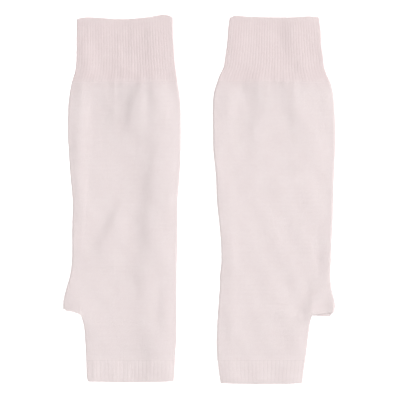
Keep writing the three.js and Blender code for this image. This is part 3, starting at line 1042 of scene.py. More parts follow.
class Value:
    """A number that varies over a surface, for writing shader maths as expressions."""

    def __init__(self, graph: "Graph", socket: bpy.types.NodeSocket) -> None:
        """Wraps a socket.

        Args:
            graph: The material's graph.
            socket: The output socket that gives the number.
        """
        self.graph = graph
        self.socket = socket

    def __add__(self, other: "Value | float") -> "Value":
        """Adds."""
        return self.graph.math("ADD", self, other)

    def __radd__(self, other: float) -> "Value":
        """Adds to a plain number."""
        return self.graph.math("ADD", other, self)

    def __sub__(self, other: "Value | float") -> "Value":
        """Subtracts."""
        return self.graph.math("SUBTRACT", self, other)

    def __rsub__(self, other: float) -> "Value":
        """Subtracts from a plain number."""
        return self.graph.math("SUBTRACT", other, self)

    def __mul__(self, other: "Value | float") -> "Value":
        """Multiplies."""
        return self.graph.math("MULTIPLY", self, other)

    def __rmul__(self, other: float) -> "Value":
        """Multiplies a plain number."""
        return self.graph.math("MULTIPLY", other, self)

    def __truediv__(self, other: "Value | float") -> "Value":
        """Divides."""
        return self.graph.math("DIVIDE", self, other)

    def absolute(self) -> "Value":
        """The number without its sign."""
        return self.graph.math("ABSOLUTE", self)

    def fraction(self) -> "Value":
        """What is left past the whole number."""
        return self.graph.math("FRACT", self)

    def floor(self) -> "Value":
        """The whole number below."""
        return self.graph.math("FLOOR", self)

    def cosine(self) -> "Value":
        """The cosine of an angle in radians."""
        return self.graph.math("COSINE", self)

    def clamped(self, low: float, high: float) -> "Value":
        """The number, kept between low and high."""
        return self.graph.math("MINIMUM", self.graph.math("MAXIMUM", self, low), high)


class Graph:
    """The node graph of one material."""

    def __init__(self, name: str) -> None:
        """Starts a material with nothing but its output.

        Args:
            name: The material's name.
        """
        self.material = bpy.data.materials.new(name)
        self.material.use_nodes = True
        self.tree = self.material.node_tree
        self.tree.nodes.clear()

    def node(
        self,
        kind: str,
        settings: dict[str, object],
        inputs: dict[str | int, object],
    ) -> bpy.types.Node:
        """Adds a node.

        Args:
            kind: The node's type.
            settings: Its own settings, set before its sockets.
            inputs: Values or links for its sockets, by name or number.

        Returns:
            The new node.
        """
        node = self.tree.nodes.new(kind)
        for key, value in settings.items():
            setattr(node, key, value)
        for key, value in inputs.items():
            socket = node.inputs[key]
            source = value.socket if isinstance(value, Value) else value
            if isinstance(source, bpy.types.NodeSocket):
                self.tree.links.new(source, socket)
            else:
                socket.default_value = source
        return node

    def math(self, operation: str, *inputs: Value | float) -> Value:
        """A Math node on up to three numbers."""
        node = self.node("ShaderNodeMath", {"operation": operation}, dict(enumerate(inputs)))
        return Value(self, node.outputs[0])

    def noise(self, scale: float, detail: float) -> Value:
        """Soft noise from 0 to 1, laid on the surface's own coordinates.

        Args:
            scale: Its cells in a metre.
            detail: How many finer layers it has.

        Returns:
            The noise.
        """
        place = self.node("ShaderNodeTexCoord", {}, {}).outputs["Object"]
        inputs = {"Vector": place, "Scale": scale, "Detail": detail}
        return Value(self, self.node("ShaderNodeTexNoise", {}, inputs).outputs["Fac"])

    def stitch(self) -> tuple[Value, Value]:
        """The wale and the course at a point.

        Returns:
            The two counts.
        """
        source = self.node("ShaderNodeUVMap", {"uv_map": STITCH_MAP}, {})
        parts = self.node("ShaderNodeSeparateXYZ", {}, {0: source.outputs["UV"]})
        return Value(self, parts.outputs["X"]), Value(self, parts.outputs["Y"])

    def colour(
        self,
        blend: Blend,
        share: Value | float,
        first: object,
        second: object,
    ) -> bpy.types.NodeSocket:
        """Puts two colours together.

        Args:
            blend: How.
            share: How much of the second counts.
            first: A colour or a socket.
            second: A colour or a socket.

        Returns:
            The socket of the new colour.
        """
        settings = {"data_type": "RGBA", "blend_type": blend.value}
        # Each data type has sockets of its own: of a colour they are 6 and 7, and 2 is its output
        node = self.node("ShaderNodeMix", settings, {0: share, 6: first, 7: second})
        return node.outputs[2]

    def grey(self, value: Value) -> bpy.types.NodeSocket:
        """A number as a grey colour."""
        node = self.node("ShaderNodeCombineColor", {}, {0: value, 1: value, 2: value})
        return node.outputs[0]

    def steepness(self, level: float, upright: float) -> Value:
        """How steeply the surface stands: 0 where it lies level and 1 where it is upright.

        Args:
            level: The upward part of its normal from which it counts as level.
            upright: The upward part of its normal below which it counts as upright.

        Returns:
            The share.
        """
        source = self.node("ShaderNodeNewGeometry", {}, {})
        parts = self.node("ShaderNodeSeparateXYZ", {}, {0: source.outputs["Normal"]})
        upward = Value(self, parts.outputs["Z"]).absolute()
        return ((level - upward) * (1.0 / (level - upright))).clamped(0.0, 1.0)

    def bump(self, height: Value, distance: float, strength: float) -> bpy.types.NodeSocket:
        """The normal of a surface with a height in units of the distance.

        Args:
            height: The height from 0 to 1.
            distance: What a height of 1 stands for, in metres.
            strength: How strongly it counts.

        Returns:
            The socket of the normal.
        """
        inputs = {"Height": height, "Distance": distance, "Strength": strength}
        return self.node("ShaderNodeBump", {}, inputs).outputs["Normal"]

    def finish(self, inputs: dict[str | int, object]) -> bpy.types.Material:
        """Adds the shader and the output.

        Args:
            inputs: Values or links for the shader's sockets.

        Returns:
            The finished material.
        """
        shader = self.node("ShaderNodeBsdfPrincipled", {}, inputs)
        self.node("ShaderNodeOutputMaterial", {}, {"Surface": shader.outputs[0]})
        return self.material


CUFF_TINT: Colour = (0.876, 0.845, 0.848, 1.0)
CUFF_SEAM_TINT: Colour = (0.892, 0.873, 0.875, 1.0)
BAND_TINT: Colour = (0.917, 0.914, 0.914, 1.0)


@dataclass(frozen=True)
class Yarn:
    """The pale pink yarn: soft, matt and slightly mottled."""

    colour: Colour = (0.755, 0.67, 0.667, 1.0)
    light: Colour = (0.8, 0.73, 0.725, 1.0)
    dark: Colour = (0.705, 0.6, 0.602, 1.0)
    mottling: float = 0.45
    cloud_scale: float = 110.0
    cloud_share: float = 0.8
    mottle_scale: float = 520.0
    mottle_share: float = 0.55
    cell_wales: float = 2.0
    cell_share: float = 0.12
    # Painted highlight: the paler colour that steep faces round the folds are given, standing in for light
    # on their rims
    painted_rim_highlight: Colour = (0.86, 0.815, 0.81, 1.0)
    level: float = 0.94
    upright: float = 0.55
    roughness: float = 0.93
    sheen: float = 0.5
    sheen_roughness: float = 0.45
    sheen_tint: Colour = (1.0, 0.96, 0.955, 1.0)
    specular: float = 0.25
    leg_slant: float = 0.85
    leg_hollow: float = 0.85
    stitch_relief: float = 0.00035
    fibre_relief: float = 0.00012
    fibre_scale: float = 2600.0
    seam_patch_scale: float = 90.0

    def mottled(self, graph: Graph, wale: Value, course: Value) -> bpy.types.NodeSocket:
        """The yarn's colour: cloudy, each stitch its own, and with a painted highlight that makes steep
        faces round a fold paler.

        Args:
            graph: The material's graph.
            wale: The wale at a point.
            course: The course at a point.

        Returns:
            The socket of the colour.
        """
        column = (wale / self.cell_wales).floor()
        cell = graph.node("ShaderNodeCombineXYZ", {}, {0: column, 1: course.floor()})
        chance = graph.node("ShaderNodeTexWhiteNoise", {"noise_dimensions": "2D"}, {0: cell.outputs[0]})
        cloud = graph.noise(self.cloud_scale, detail=3.0) - 0.5
        mottle = graph.noise(self.mottle_scale, detail=4.0) - 0.5
        each = Value(graph, chance.outputs["Value"]) - 0.5
        share = cloud * self.cloud_share + mottle * self.mottle_share + each * self.cell_share + 0.5
        base = graph.colour(Blend.MIX, share, self.dark, self.light)
        flat = graph.colour(Blend.MIX, self.mottling, self.colour, base)
        # Painted highlight: steep faces are blended towards the paler colour
        return graph.colour(Blend.MIX, graph.steepness(self.level, self.upright), flat, self.painted_rim_highlight)

    def stitches(self, wale: Value, course: Value) -> Value:
        """The height of plain knit: a column of Vs in each wale.

        Args:
            wale: The wale at a point.
            course: The course at a point.

        Returns:
            The height from 0 to 1.
        """
        aside = (wale.fraction() - 0.5).absolute() * 2.0
        along = (course + aside * self.leg_slant).fraction()
        off_leg = aside * 2.0 - 1.0
        off_middle = along * 2.0 - 1.0
        return (1.0 - off_leg * off_leg * self.leg_hollow) * (1.0 - off_middle * off_middle)

    def from_seam(self, graph: Graph, course: Value, courses: float) -> Value:
        """How far a point is from the cuff's seam: 0 on it and 1 some courses away.

        Args:
            graph: The material's graph.
            course: The course at a point.
            courses: How many, on average: it varies from patch to patch.

        Returns:
            The share.
        """
        patches = graph.noise(self.seam_patch_scale, detail=2.0) * (2.0 / courses)
        return (course.absolute() * patches).clamped(0.0, 1.0)

    def knitted(
        self,
        graph: Graph,
        stitches: Value,
        tinted: bpy.types.NodeSocket,
        painted_shade: Value,
        bump: float,
    ) -> bpy.types.Material:
        """Finishes a knit: its colour, with painted shade in the hollows, and its relief with fine fibres.

        Args:
            graph: The material's graph.
            stitches: The height of its stitches, from 0 to 1.
            tinted: The socket of its colour.
            painted_shade: How much darker each point is painted, for shade in its hollows.
            bump: How strongly the relief counts.

        Returns:
            The finished material.
        """
        fibres = graph.noise(self.fibre_scale, detail=3.0)
        relief = stitches + fibres * (self.fibre_relief / self.stitch_relief)
        # Painted shade: the colour is darkened by the given amount
        colour = graph.colour(Blend.MULTIPLY, 1.0, tinted, graph.grey(1.0 - painted_shade))
        normal = graph.bump(relief, self.stitch_relief, bump)
        return graph.finish({"Base Color": colour, "Normal": normal, **self.shader()})

    def shader(self) -> dict[str | int, object]:
        """The settings that are the same all over.

        Returns:
            The shader's inputs by name, with their values.
        """
        return {
            "Roughness": self.roughness,
            "Specular IOR Level": self.specular,
            "Sheen Weight": self.sheen,
            "Sheen Roughness": self.sheen_roughness,
            "Sheen Tint": self.sheen_tint,
        }


@dataclass(frozen=True)
class JerseyFinish:
    """Plain knit: fine Vs with painted shade in their hollows and a painted highlight on steep faces,
    tinted darker where the cuff draws it in, with a broad patch of painted shade below the cuff.
    """

    yarn: Yarn = Yarn()
    # Painted shade in the hollows between the stitches
    stitch_shade: float = 0.06
    stitch_bump: float = 0.8
    # Painted shade: a broad darker patch in the tube just below the cuff, with its strength, middle wale
    # and reach
    painted_patch_shade: float = 0.044
    painted_patch_wale: float = 111.0
    painted_patch_wales: float = 24.0
    painted_patch_courses: float = 52.0
    cuff_tint: Colour = (0.957, 0.926, 0.93, 1.0)
    tint_share: float = 0.5
    tint_courses: float = 7.0

    def material(self) -> bpy.types.Material:
        """Makes the material.

        Returns:
            The finished material.
        """
        graph = Graph("jersey_knit")
        wale, course = graph.stitch()
        stitches = self.yarn.stitches(wale, course)
        # Painted shade: the patch below the cuff, darkest in its middle
        aside = (wale - self.painted_patch_wale) / self.painted_patch_wales
        below = course / self.painted_patch_courses
        painted_patch = graph.math("EXPONENT", 0.0 - aside * aside - below * below)
        near_cuff = 1.0 - self.yarn.from_seam(graph, course, self.tint_courses)
        mottled = self.yarn.mottled(graph, wale, course)
        tinted = graph.colour(Blend.MULTIPLY, near_cuff * self.tint_share, mottled, self.cuff_tint)
        # Painted shade in the stitches' hollows and in the patch below the cuff
        painted_shade = (1.0 - stitches) * self.stitch_shade + painted_patch * self.painted_patch_shade
        return self.yarn.knitted(graph, stitches, tinted, painted_shade, self.stitch_bump)


@dataclass(frozen=True)
class RibFinish:
    """Ribbed knit: Vs on the ribs, with painted shade in their hollows and in the grooves between them."""

    name: str
    wales_in_rib: int
    tint: Colour
    seam_tint: Colour
    yarn: Yarn = Yarn()
    tint_courses: float = 4.0
    # Painted shade in the hollows between the stitches
    stitch_shade: float = 0.03
    stitch_bump: float = 0.5
    # Painted shade in the grooves between the ribs
    groove_shade: float = 0.038
    groove_hollow: float = 0.2
    groove_sharpness: float = 6.0
    patch_scale: float = 42.0
    patch_level: float = 0.36
    patch_contrast: float = 4.0
    faintest: float = 0.1

    def material(self) -> bpy.types.Material:
        """Makes the material.

        Returns:
            The finished material.
        """
        graph = Graph(self.name)
        wale, course = graph.stitch()
        swing = (wale * (math.tau / self.wales_in_rib)).cosine() * 0.5 + 0.5
        groove = graph.math("POWER", swing, self.groove_sharpness)
        stitches = self.yarn.stitches(wale + 0.5, course) * (1.0 - groove * self.groove_hollow)
        cloud = graph.noise(self.patch_scale, detail=1.0)
        opened = ((cloud - self.patch_level) * self.patch_contrast).clamped(self.faintest, 1.0)
        from_seam = self.yarn.from_seam(graph, course, self.tint_courses)
        tint = graph.colour(Blend.MIX, from_seam, self.seam_tint, self.tint)
        tinted = graph.colour(Blend.MULTIPLY, 1.0, self.yarn.mottled(graph, wale, course), tint)
        # Painted shade in the stitches' hollows and in the grooves, stronger in the patches where the ribs
        # lie open
        painted_shade = (1.0 - stitches) * self.stitch_shade + groove * opened * self.groove_shade
        return self.yarn.knitted(graph, stitches, tinted, painted_shade, self.stitch_bump)


@dataclass(frozen=True)
class LooseYarnFinish:
    """Yarn that lies free, as in the edge stitches and the fuzz."""

    name: str
    yarn: Yarn = Yarn()
    twist_scale: float = 900.0
    twist_bump: float = 0.6

    def material(self) -> bpy.types.Material:
        """Makes the material.

        Returns:
            The finished material.
        """
        graph = Graph(self.name)
        twist = graph.noise(self.twist_scale, detail=2.0)
        colour = graph.colour(Blend.MIX, twist, self.yarn.colour, self.yarn.light)
        normal = graph.bump(twist, self.yarn.fibre_relief, self.twist_bump)
        return graph.finish({"Base Color": colour, "Normal": normal, **self.yarn.shader()})


@dataclass(frozen=True)
class FloorFinish:
    """A plain pale light table with the faintest grain."""

    light: Colour = (0.94, 0.94, 0.94, 1.0)
    dark: Colour = (0.925, 0.925, 0.925, 1.0)
    grain_scale: float = 60.0
    roughness: float = 0.9
    specular: float = 0.1
    glow: float = 0.7

    def material(self) -> bpy.types.Material:
        """Makes the material.

        Returns:
            The finished material.
        """
        graph = Graph("floor_paper")
        grain = graph.noise(self.grain_scale, detail=2.0)
        colour = graph.colour(Blend.MIX, grain, self.dark, self.light)
        return graph.finish({
            "Base Color": colour,
            "Roughness": self.roughness,
            "Specular IOR Level": self.specular,
            "Emission Color": WHITE,
            "Emission Strength": self.glow,
        })


@dataclass(frozen=True)
class Finishes:
    """The materials of the gloves."""

    jersey: bpy.types.Material
    cuff_rib: bpy.types.Material
    band_rib: bpy.types.Material
    edge_yarn: bpy.types.Material
    fuzz: bpy.types.Material


@dataclass
class EdgeStitches:
    """The linked stitches along a free edge: a yarn that winds round the lip."""

    yarn_radius: float = 0.26
    wrap_radius: float = 0.78
    pitch: float = 1.25
    points_in_turn: int = 8
    sides: int = 5

    def build(
        self,
        name: str,
        cloth: KnitCloth,
        ring: Ring,
        material: bpy.types.Material,
    ) -> bpy.types.Object:
        """Makes the yarn.

        Args:
            name: The piece's name.
            cloth: The cloth that it binds.
            ring: The ring at the cloth's free edge.
            material: Its finish.

        Returns:
            The new object.
        """
        loop = ring.loop()
        centres = [(cloth.outer[point] + cloth.inner[point]) / 2 for point in loop]
        normals = [(cloth.outer[point] - cloth.inner[point]).normalized() for point in loop]
        outward = Vector((0, cloth.lips[loop[0]], 0))
        lengths = [0.0]
        for i, centre in enumerate(centres):
            lengths.append(lengths[-1] + (centres[(i + 1) % len(centres)] - centre).length)
        turns = round(lengths[-1] / self.pitch)
        count = turns * self.points_in_turn
        path = []
        for i in range(count):
            at = lengths[-1] * i / count
            before = bisect_right(lengths, at) - 1
            after = (before + 1) % len(centres)
            share = (at - lengths[before]) / (lengths[before + 1] - lengths[before])
            centre = centres[before].lerp(centres[after], share)
            normal = normals[before].lerp(normals[after], share)
            angle = math.tau * i / self.points_in_turn
            place = centre + self.wrap_radius * (normal * math.cos(angle) + outward * math.sin(angle))
            place.z = max(place.z, self.yarn_radius)
            path.append(place)
        return yarn_tube(name, [(path, True)], self.yarn_radius, self.sides, material)


def yarn_tube(
    name: str,
    paths: Sequence[tuple[Sequence[Vector], bool]],
    radius: float,
    sides: int,
    material: bpy.types.Material,
) -> bpy.types.Object:
    """Makes round yarns along paths, as one mesh.

    Args:
        name: The piece's name.
        paths: Each yarn's points, and whether it closes on itself.
        radius: The yarn's radius.
        sides: How many sides it has.
        material: Its finish.

    Returns:
        The new object.
    """
    places: list[Vector] = []
    faces: list[tuple[int, ...]] = []
    for path, closed in paths:
        first = len(places)
        count = len(path)
        for i, place in enumerate(path):
            after = path[(i + 1) % count] if closed or i + 1 < count else place
            before = path[i - 1] if closed or i else place
            along = (after - before).normalized()
            aside = along.orthogonal().normalized() if i == 0 else aside - along * aside.dot(along)
            aside.normalize()
            up = along.cross(aside)
            for side in range(sides):
                angle = math.tau * side / sides
                places.append(place + radius * (aside * math.cos(angle) + up * math.sin(angle)))
        last = count if closed else count - 1
        for i in range(last):
            for side in range(sides):
                here, there = first + i * sides, first + (i + 1) % count * sides
                beside = (side + 1) % sides
                faces.append((here + side, here + beside, there + beside, there + side))
        if not closed:
            faces.append(tuple(first + side for side in reversed(range(sides))))
            faces.append(tuple(first + (count - 1) * sides + side for side in range(sides)))
    return make_mesh(name, places, faces, (), set(), material)


class Slot(Enum):
    """The record's two slots."""

    RIB = "rib_knit"
    JERSEY = "jersey_knit"


@dataclass
class EdgedTube(ABC):
    """A stretch of knit between a seam and a free edge, as the cuff, the band and the thumb are."""

    form: GloveForm
    rows: int = 10
    wales_in_rib: int = 1
    lip: float = 0.8
    overlap: float = 0.0
    low_radius: float = FOLD_RADIUS

    label: ClassVar[str]
    slot: ClassVar[Slot]
    seam: ClassVar[float]
    outward: ClassVar[int]

    @abstractmethod
    def knit(self) -> Knit:
        """How it is knitted."""

    @abstractmethod
    def edge(self) -> tuple[Edge, ...]:
        """The points along its free edge."""

    @abstractmethod
    def rim(self, across: float, rise: float) -> float:
        """The station where it ends, at a place across and a share of the height."""

    @abstractmethod
    def reach(self, y: float) -> tuple[float, float]:
        """From where to where it reaches at a station."""

    def strength(self, y: float) -> float:
        """How strongly its ribs stand up at a station."""
        return 0.0

    def shares(self) -> tuple[list[float], list[float]]:
        """The places of the points across the under layer and the top one."""
        ribs = self.knit().layer_wales // self.wales_in_rib
        return rib_shares(ribs, UNDER_RIB_CUTS), rib_shares(ribs, RIB_CUTS)

    def flat(self) -> Size:
        """The size all round it and its length, in metres.

        Returns:
            The girth and the length.
        """
        far = nominal(self.edge())
        low, high = self.reach((self.seam + far) / 2)
        return 2 * (high - low) * MM, abs(far - self.seam) * MM

    def cloth(self) -> tuple[KnitCloth, Ring]:
        """Knits it and gives it with its free edge.

        Returns:
            The cloth and the ring at its free edge.
        """
        cloth = KnitCloth(self.form, self.knit())
        under, over = self.shares()
        far = nominal(self.edge())
        rings = []
        for share in steps(0, 1, self.rows)[:: -self.outward]:
            y = mix(self.seam, far, share)
            low, high = self.reach(y)

            def y_at(across: float, rise: float, share: float = share) -> float:
                """The station at a place, between the seam and the rim."""
                return mix(self.seam, self.rim(across, rise) - self.outward * self.lip, share)

            rings.append(cloth.ring(Section(
                y=y,
                low=low - self.overlap,
                high=high,
                under=under,
                over=over,
                y_at=y_at,
                low_radius=self.low_radius,
                rib=self.strength(y),
            )))
        cloth.join(rings)
        end = rings[0] if self.outward > 0 else rings[-1]
        cloth.free_end(end, self.outward)
        return cloth, end


@dataclass
class ArmCuff(EdgedTube):
    """The fine rib at the arm end."""

    rows: int = 30
    wales_in_rib: int = 2
    fold_cells: int = 18
    seam_fade: float = 6.0
    faint: float = 0.4
    faint_reach: float = 6.0

    label: ClassVar[str] = "cuff"
    slot: ClassVar[Slot] = Slot.RIB
    seam: ClassVar[float] = CUFF_SEAM
    outward: ClassVar[int] = 1

    def knit(self) -> Knit:
        """How it is knitted."""
        return Knit(wales_in_rib=self.wales_in_rib, fold_cells=self.fold_cells)

    def edge(self) -> tuple[Edge, ...]:
        """The points along its free edge."""
        return self.form.plan.arm_edge

    def rim(self, across: float, rise: float) -> float:
        """The station where it ends, the same for both layers."""
        return self.form.arm_rim.at(across)

    def reach(self, y: float) -> tuple[float, float]:
        """From where to where it reaches at a station."""
        return -self.form.inner.at(y), self.form.outer.at(y)

    def strength(self, y: float) -> float:
        """How strongly its ribs stand up at a station."""
        top = mix(1.0, self.faint, smooth((y - self.form.plan.rib_fade) / self.faint_reach))
        return top * smooth((y - CUFF_SEAM) / self.seam_fade)


@dataclass
class HandBand(EdgedTube):
    """The narrow rib at the hand opening."""

    rows: int = 11
    wales_in_rib: int = 3
    fold_ribs: int = 2
    fold_cells: int = 16
    rib_depth: float = 0.045
    seam_fade: float = 4.5

    label: ClassVar[str] = "band"
    slot: ClassVar[Slot] = Slot.RIB
    seam: ClassVar[float] = BAND_SEAM
    outward: ClassVar[int] = -1

    def knit(self) -> Knit:
        """How it is knitted.

        Returns:
            The knit's sizes.
        """
        return Knit(
            layer_wales=self.form.plan.band_ribs * self.wales_in_rib,
            fold_wales=self.fold_ribs * self.wales_in_rib,
            wales_in_rib=self.wales_in_rib,
            rib_depth=self.rib_depth,
            fold_cells=self.fold_cells,
        )

    def edge(self) -> tuple[Edge, ...]:
        """The points along its free edge."""
        return self.form.plan.hand_edge

    def rim(self, across: float, rise: float) -> float:
        """The station where it ends, the same for both layers."""
        return self.form.hand_rim.at(across)

    def reach(self, y: float) -> tuple[float, float]:
        """From where to where it reaches at a station."""
        return -self.form.hand_inner.at(y), self.form.hand_outer.at(y)

    def strength(self, y: float) -> float:
        """How strongly its ribs stand up at a station."""
        return smooth((BAND_SEAM - y) / self.seam_fade)


@dataclass
class ThumbStub(EdgedTube):
    """The short plain tube of the thumb, beside the hand's fold."""

    lip: float = 0.6
    overlap: float = 0.1
    low_radius: float = 0.0
    cells: int = 12
    under_cells: int = 8
    wales: int = 13

    label: ClassVar[str] = "thumb"
    slot: ClassVar[Slot] = Slot.JERSEY
    seam: ClassVar[float] = THUMB_SPLIT
    outward: ClassVar[int] = -1

    def knit(self) -> Knit:
        """How it is knitted."""
        return Knit(layer_wales=self.wales)

    def edge(self) -> tuple[Edge, ...]:
        """The points along its free edge."""
        return self.form.plan.thumb_rim

    def rim(self, across: float, rise: float) -> float:
        """The station where it ends, of each layer its own."""
        return mix(self.form.thumb_far_rim.at(across), self.form.thumb_rim.at(across), rise)

    def reach(self, y: float) -> tuple[float, float]:
        """From where to where it reaches at a station."""
        return self.form.hand_outer.at(y), self.form.outer.at(y)

    def shares(self) -> tuple[list[float], list[float]]:
        """The places of the points across the under layer and the top one."""
        return steps(0, 1, self.under_cells), steps(0, 1, self.cells)


@dataclass
class JerseyTube:
    """The plain tube over forearm and palm, with the fold of cloth between hand and thumb."""

    form: GloveForm
    arm_rows: int = 96
    hand_rows: int = 32
    hand_cells: int = 58
    thumb_cells: int = 12
    under_hand_cells: int = 26
    under_thumb_cells: int = 6
    width_steps: int = 20

    label: ClassVar[str] = "tube"
    slot: ClassVar[Slot] = Slot.JERSEY

    def flat(self) -> Size:
        """The mean size all round it and its length, in metres.

        Returns:
            The girth and the length.
        """
        stations = steps(CUFF_SEAM, THUMB_SPLIT, self.width_steps)
        widths = [self.form.inner.at(y) + self.form.outer.at(y) for y in stations]
        return 2 * sum(widths) / len(widths) * MM, (CUFF_SEAM - BAND_SEAM) * MM

    def crotch_share(self) -> float:
        """The share of the tube's width, between its folds, that goes on into the hand.

        Returns:
            The share, from 0 to 1.
        """
        inner, outer = self.form.inner.at(THUMB_SPLIT), self.form.outer.at(THUMB_SPLIT)
        crotch = self.form.hand_outer.at(THUMB_SPLIT)
        return (inner + crotch - FOLD_RADIUS) / (inner + outer - 2 * FOLD_RADIUS)

    def cloth(self) -> tuple[KnitCloth, None]:
        """Knits the tube, which has no free edge.

        Returns:
            The cloth and no ring.
        """
        cloth = KnitCloth(self.form, Knit())
        share = self.crotch_share()
        over = [*steps(0, share, self.hand_cells), *steps(share, 1, self.thumb_cells)[1:]]
        under = [*steps(0, share, self.under_hand_cells), *steps(share, 1, self.under_thumb_cells)[1:]]
        arm_rings = [
            cloth.ring(Section(
                y=y,
                low=-self.form.inner.at(y),
                high=self.form.outer.at(y),
                under=under,
                over=over,
                y_at=lambda across, rise, y=y: y,
            ))
            for y in steps(CUFF_SEAM, THUMB_SPLIT, self.arm_rows)
        ]
        cloth.join(arm_rings)
        cloth.join([self.crotch_ring(cloth, arm_rings[-1]), *self.hand_rings(cloth, share)])
        return cloth, None

    def crotch_ring(self, cloth: KnitCloth, split: Ring) -> Ring:
        """The first ring of the hand: part of the arm's last ring, closed by an upright fold.

        Args:
            cloth: The cloth that it belongs to.
            split: The arm's last ring.

        Returns:
            The hand's first ring.
        """
        over_points = split.over.points[self.thumb_cells :]
        under_points = split.under.points[: self.under_hand_cells + 1]
        crotch = self.form.hand_outer.at(THUMB_SPLIT)
        loft = cloth.outer[over_points[0]].z
        under_wales = split.under.wales[: self.under_hand_cells + 1]
        wales = steps(under_wales[-1], under_wales[-1] + FOLD_WALES, cloth.knit.fold_cells)
        fold = cloth.fold(crotch, 0.0, 1, loft, lambda _, rise: THUMB_SPLIT, wales)
        cloth.lean_inner(under_points[-1], cloth.wall)
        cloth.lean_inner(over_points[0], cloth.wall)
        return Ring(
            under=Stretch(under_points, under_wales),
            outer_fold=Stretch([under_points[-1], *fold, over_points[0]], wales),
            over=Stretch(over_points, split.over.wales[self.thumb_cells :]),
            inner_fold=split.inner_fold,
            course=split.course,
            creases=(over_points[0], None),
        )

    def hand_rings(self, cloth: KnitCloth, share: float) -> list[Ring]:
        """The rings round the hand, below the split.

        Args:
            cloth: The cloth that they belong to.
            share: The share of the tube's width that goes on into the hand.

        Returns:
            The rings in order.
        """
        rings = []
        for y in steps(THUMB_SPLIT, BAND_SEAM, self.hand_rows)[1:]:
            section = Section(
                y=y,
                low=-self.form.hand_inner.at(y),
                high=self.form.hand_outer.at(y),
                under=steps(0, 1, self.under_hand_cells),
                over=steps(0, 1, self.hand_cells),
                y_at=lambda across, rise, y=y: y,
                high_radius=FOLD_RADIUS * smooth((CROTCH_FOOT - y) / CROTCH_LENGTH),
            )
            ring = cloth.ring(section)
            ring.under.wales = [wale * share for wale in ring.under.wales]
            outer_end = ring.over.wales[-1]
            ring.over.wales = [outer_end - (outer_end - wale) * share for wale in ring.over.wales]
            first = ring.under.wales[-1]
            ring.outer_fold.wales = steps(first, first + FOLD_WALES, cloth.knit.fold_cells)
            rings.append(ring)
        return rings


@dataclass
class Fuzz:
    """Short loose fibres that stand off the knit."""

    seed: int
    surface_fibres: int = 4500
    edge_fibres: int = 11000
    width: float = 0.065
    shortest: float = 0.7
    longest: float = 2.8
    segments: int = 3
    least_height: float = 0.7
    least_z: float = 0.1
    root_depth: float = 0.05
    taper: float = 0.6
    drift_upward: float = 0.35
    turn_upward: float = 2.0
    rise: tuple[float, float] = (0.25, 0.9)
    bend: tuple[float, float] = (0.2, 0.9)

    def build(
        self,
        name: str,
        cloths: Sequence[KnitCloth],
        material: bpy.types.Material,
    ) -> bpy.types.Object:
        """Makes the fibres of one glove.

        Args:
            name: The piece's name.
            cloths: The cloths that they stand on.
            material: Their finish.

        Returns:
            The new object.
        """
        draw = random.Random(self.seed)
        places: list[Vector] = []
        faces: list[tuple[int, ...]] = []
        for kind, count in enumerate((self.surface_fibres, self.edge_fibres)):
            patches = [patch for cloth in cloths for patch in cloth.patches(self.least_height)[kind]]
            areas = [patch.area for patch in patches]
            for patch in draw.choices(patches, weights=areas, k=count):
                self.fibre(draw, patch, places, faces)
        return make_mesh(name, places, faces, (), set(), material)

    def fibre(
        self,
        draw: random.Random,
        patch: Patch,
        places: list[Vector],
        faces: list[tuple[int, ...]],
    ) -> None:
        """Adds one fibre: a narrow ribbon that leaves the cloth and bends back towards it.

        Args:
            draw: The source of its shape.
            patch: The patch that it stands on.
            places: The points so far.
            faces: The faces so far.
        """
        along, aside = draw.random(), draw.random()
        corners, normal = patch.corners, patch.facing
        root = corners[0].lerp(corners[1], along).lerp(corners[3].lerp(corners[2], along), aside)
        drift = Vector((draw.gauss(0, 1), draw.gauss(0, 1), draw.gauss(0, self.drift_upward)))
        lying = (drift - normal * drift.dot(normal)).normalized()
        heading = (normal * draw.uniform(*self.rise) + lying).normalized()
        length = mix(self.shortest, self.longest, draw.random() ** 2)
        bend = draw.uniform(*self.bend)
        flat = heading.cross(Vector((draw.gauss(0, 1), draw.gauss(0, 1), self.turn_upward))).normalized()
        first = len(places)
        place = root - normal * self.root_depth
        for i in range(self.segments + 1):
            half = flat * self.width * (1 - self.taper * i / self.segments) / 2
            places.extend((place - half, place + half))
            heading = (heading - normal * bend / self.segments).normalized()
            place = place + heading * length / self.segments
            place.z = max(place.z, self.least_z)
        for i in range(self.segments):
            here = first + 2 * i
            faces.append((here, here + 1, here + 3, here + 2))


@dataclass
class CrotchStitches:
    """The few run-in stitches that close the corner between thumb and hand."""

    form: GloveForm
    yarn_radius: float = 0.24
    reach: float = 1.2
    spacing: float = 1.3
    count: int = 3
    rise: float = 0.15
    sink: float = 0.2
    slant: float = 0.5
    start: float = -100.6
    points: int = 7
    sides: int = 6

    def build(self, name: str, material: bpy.types.Material) -> bpy.types.Object:
        """Makes the stitches: short loops across the line where the two tubes part.

        Args:
            name: The name of the object.
            material: The material of its yarn.

        Returns:
            The object.
        """
        crotch = self.form.hand_outer.at(self.start)
        side = self.form.plan.side
        paths = []
        for i in range(self.count):
            y = self.start - self.spacing * i
            path = []
            for turn in steps(-1, 1, self.points - 1):
                across = crotch + turn * self.reach
                z = self.form.loft(across, y) + self.rise * (1 - turn * turn) - self.sink
                path.append(Vector((side * (GLOVE_MIDDLE + across), y + self.slant * turn, z)))
            paths.append((path, False))
        return yarn_tube(name, paths, self.yarn_radius, self.sides, material)


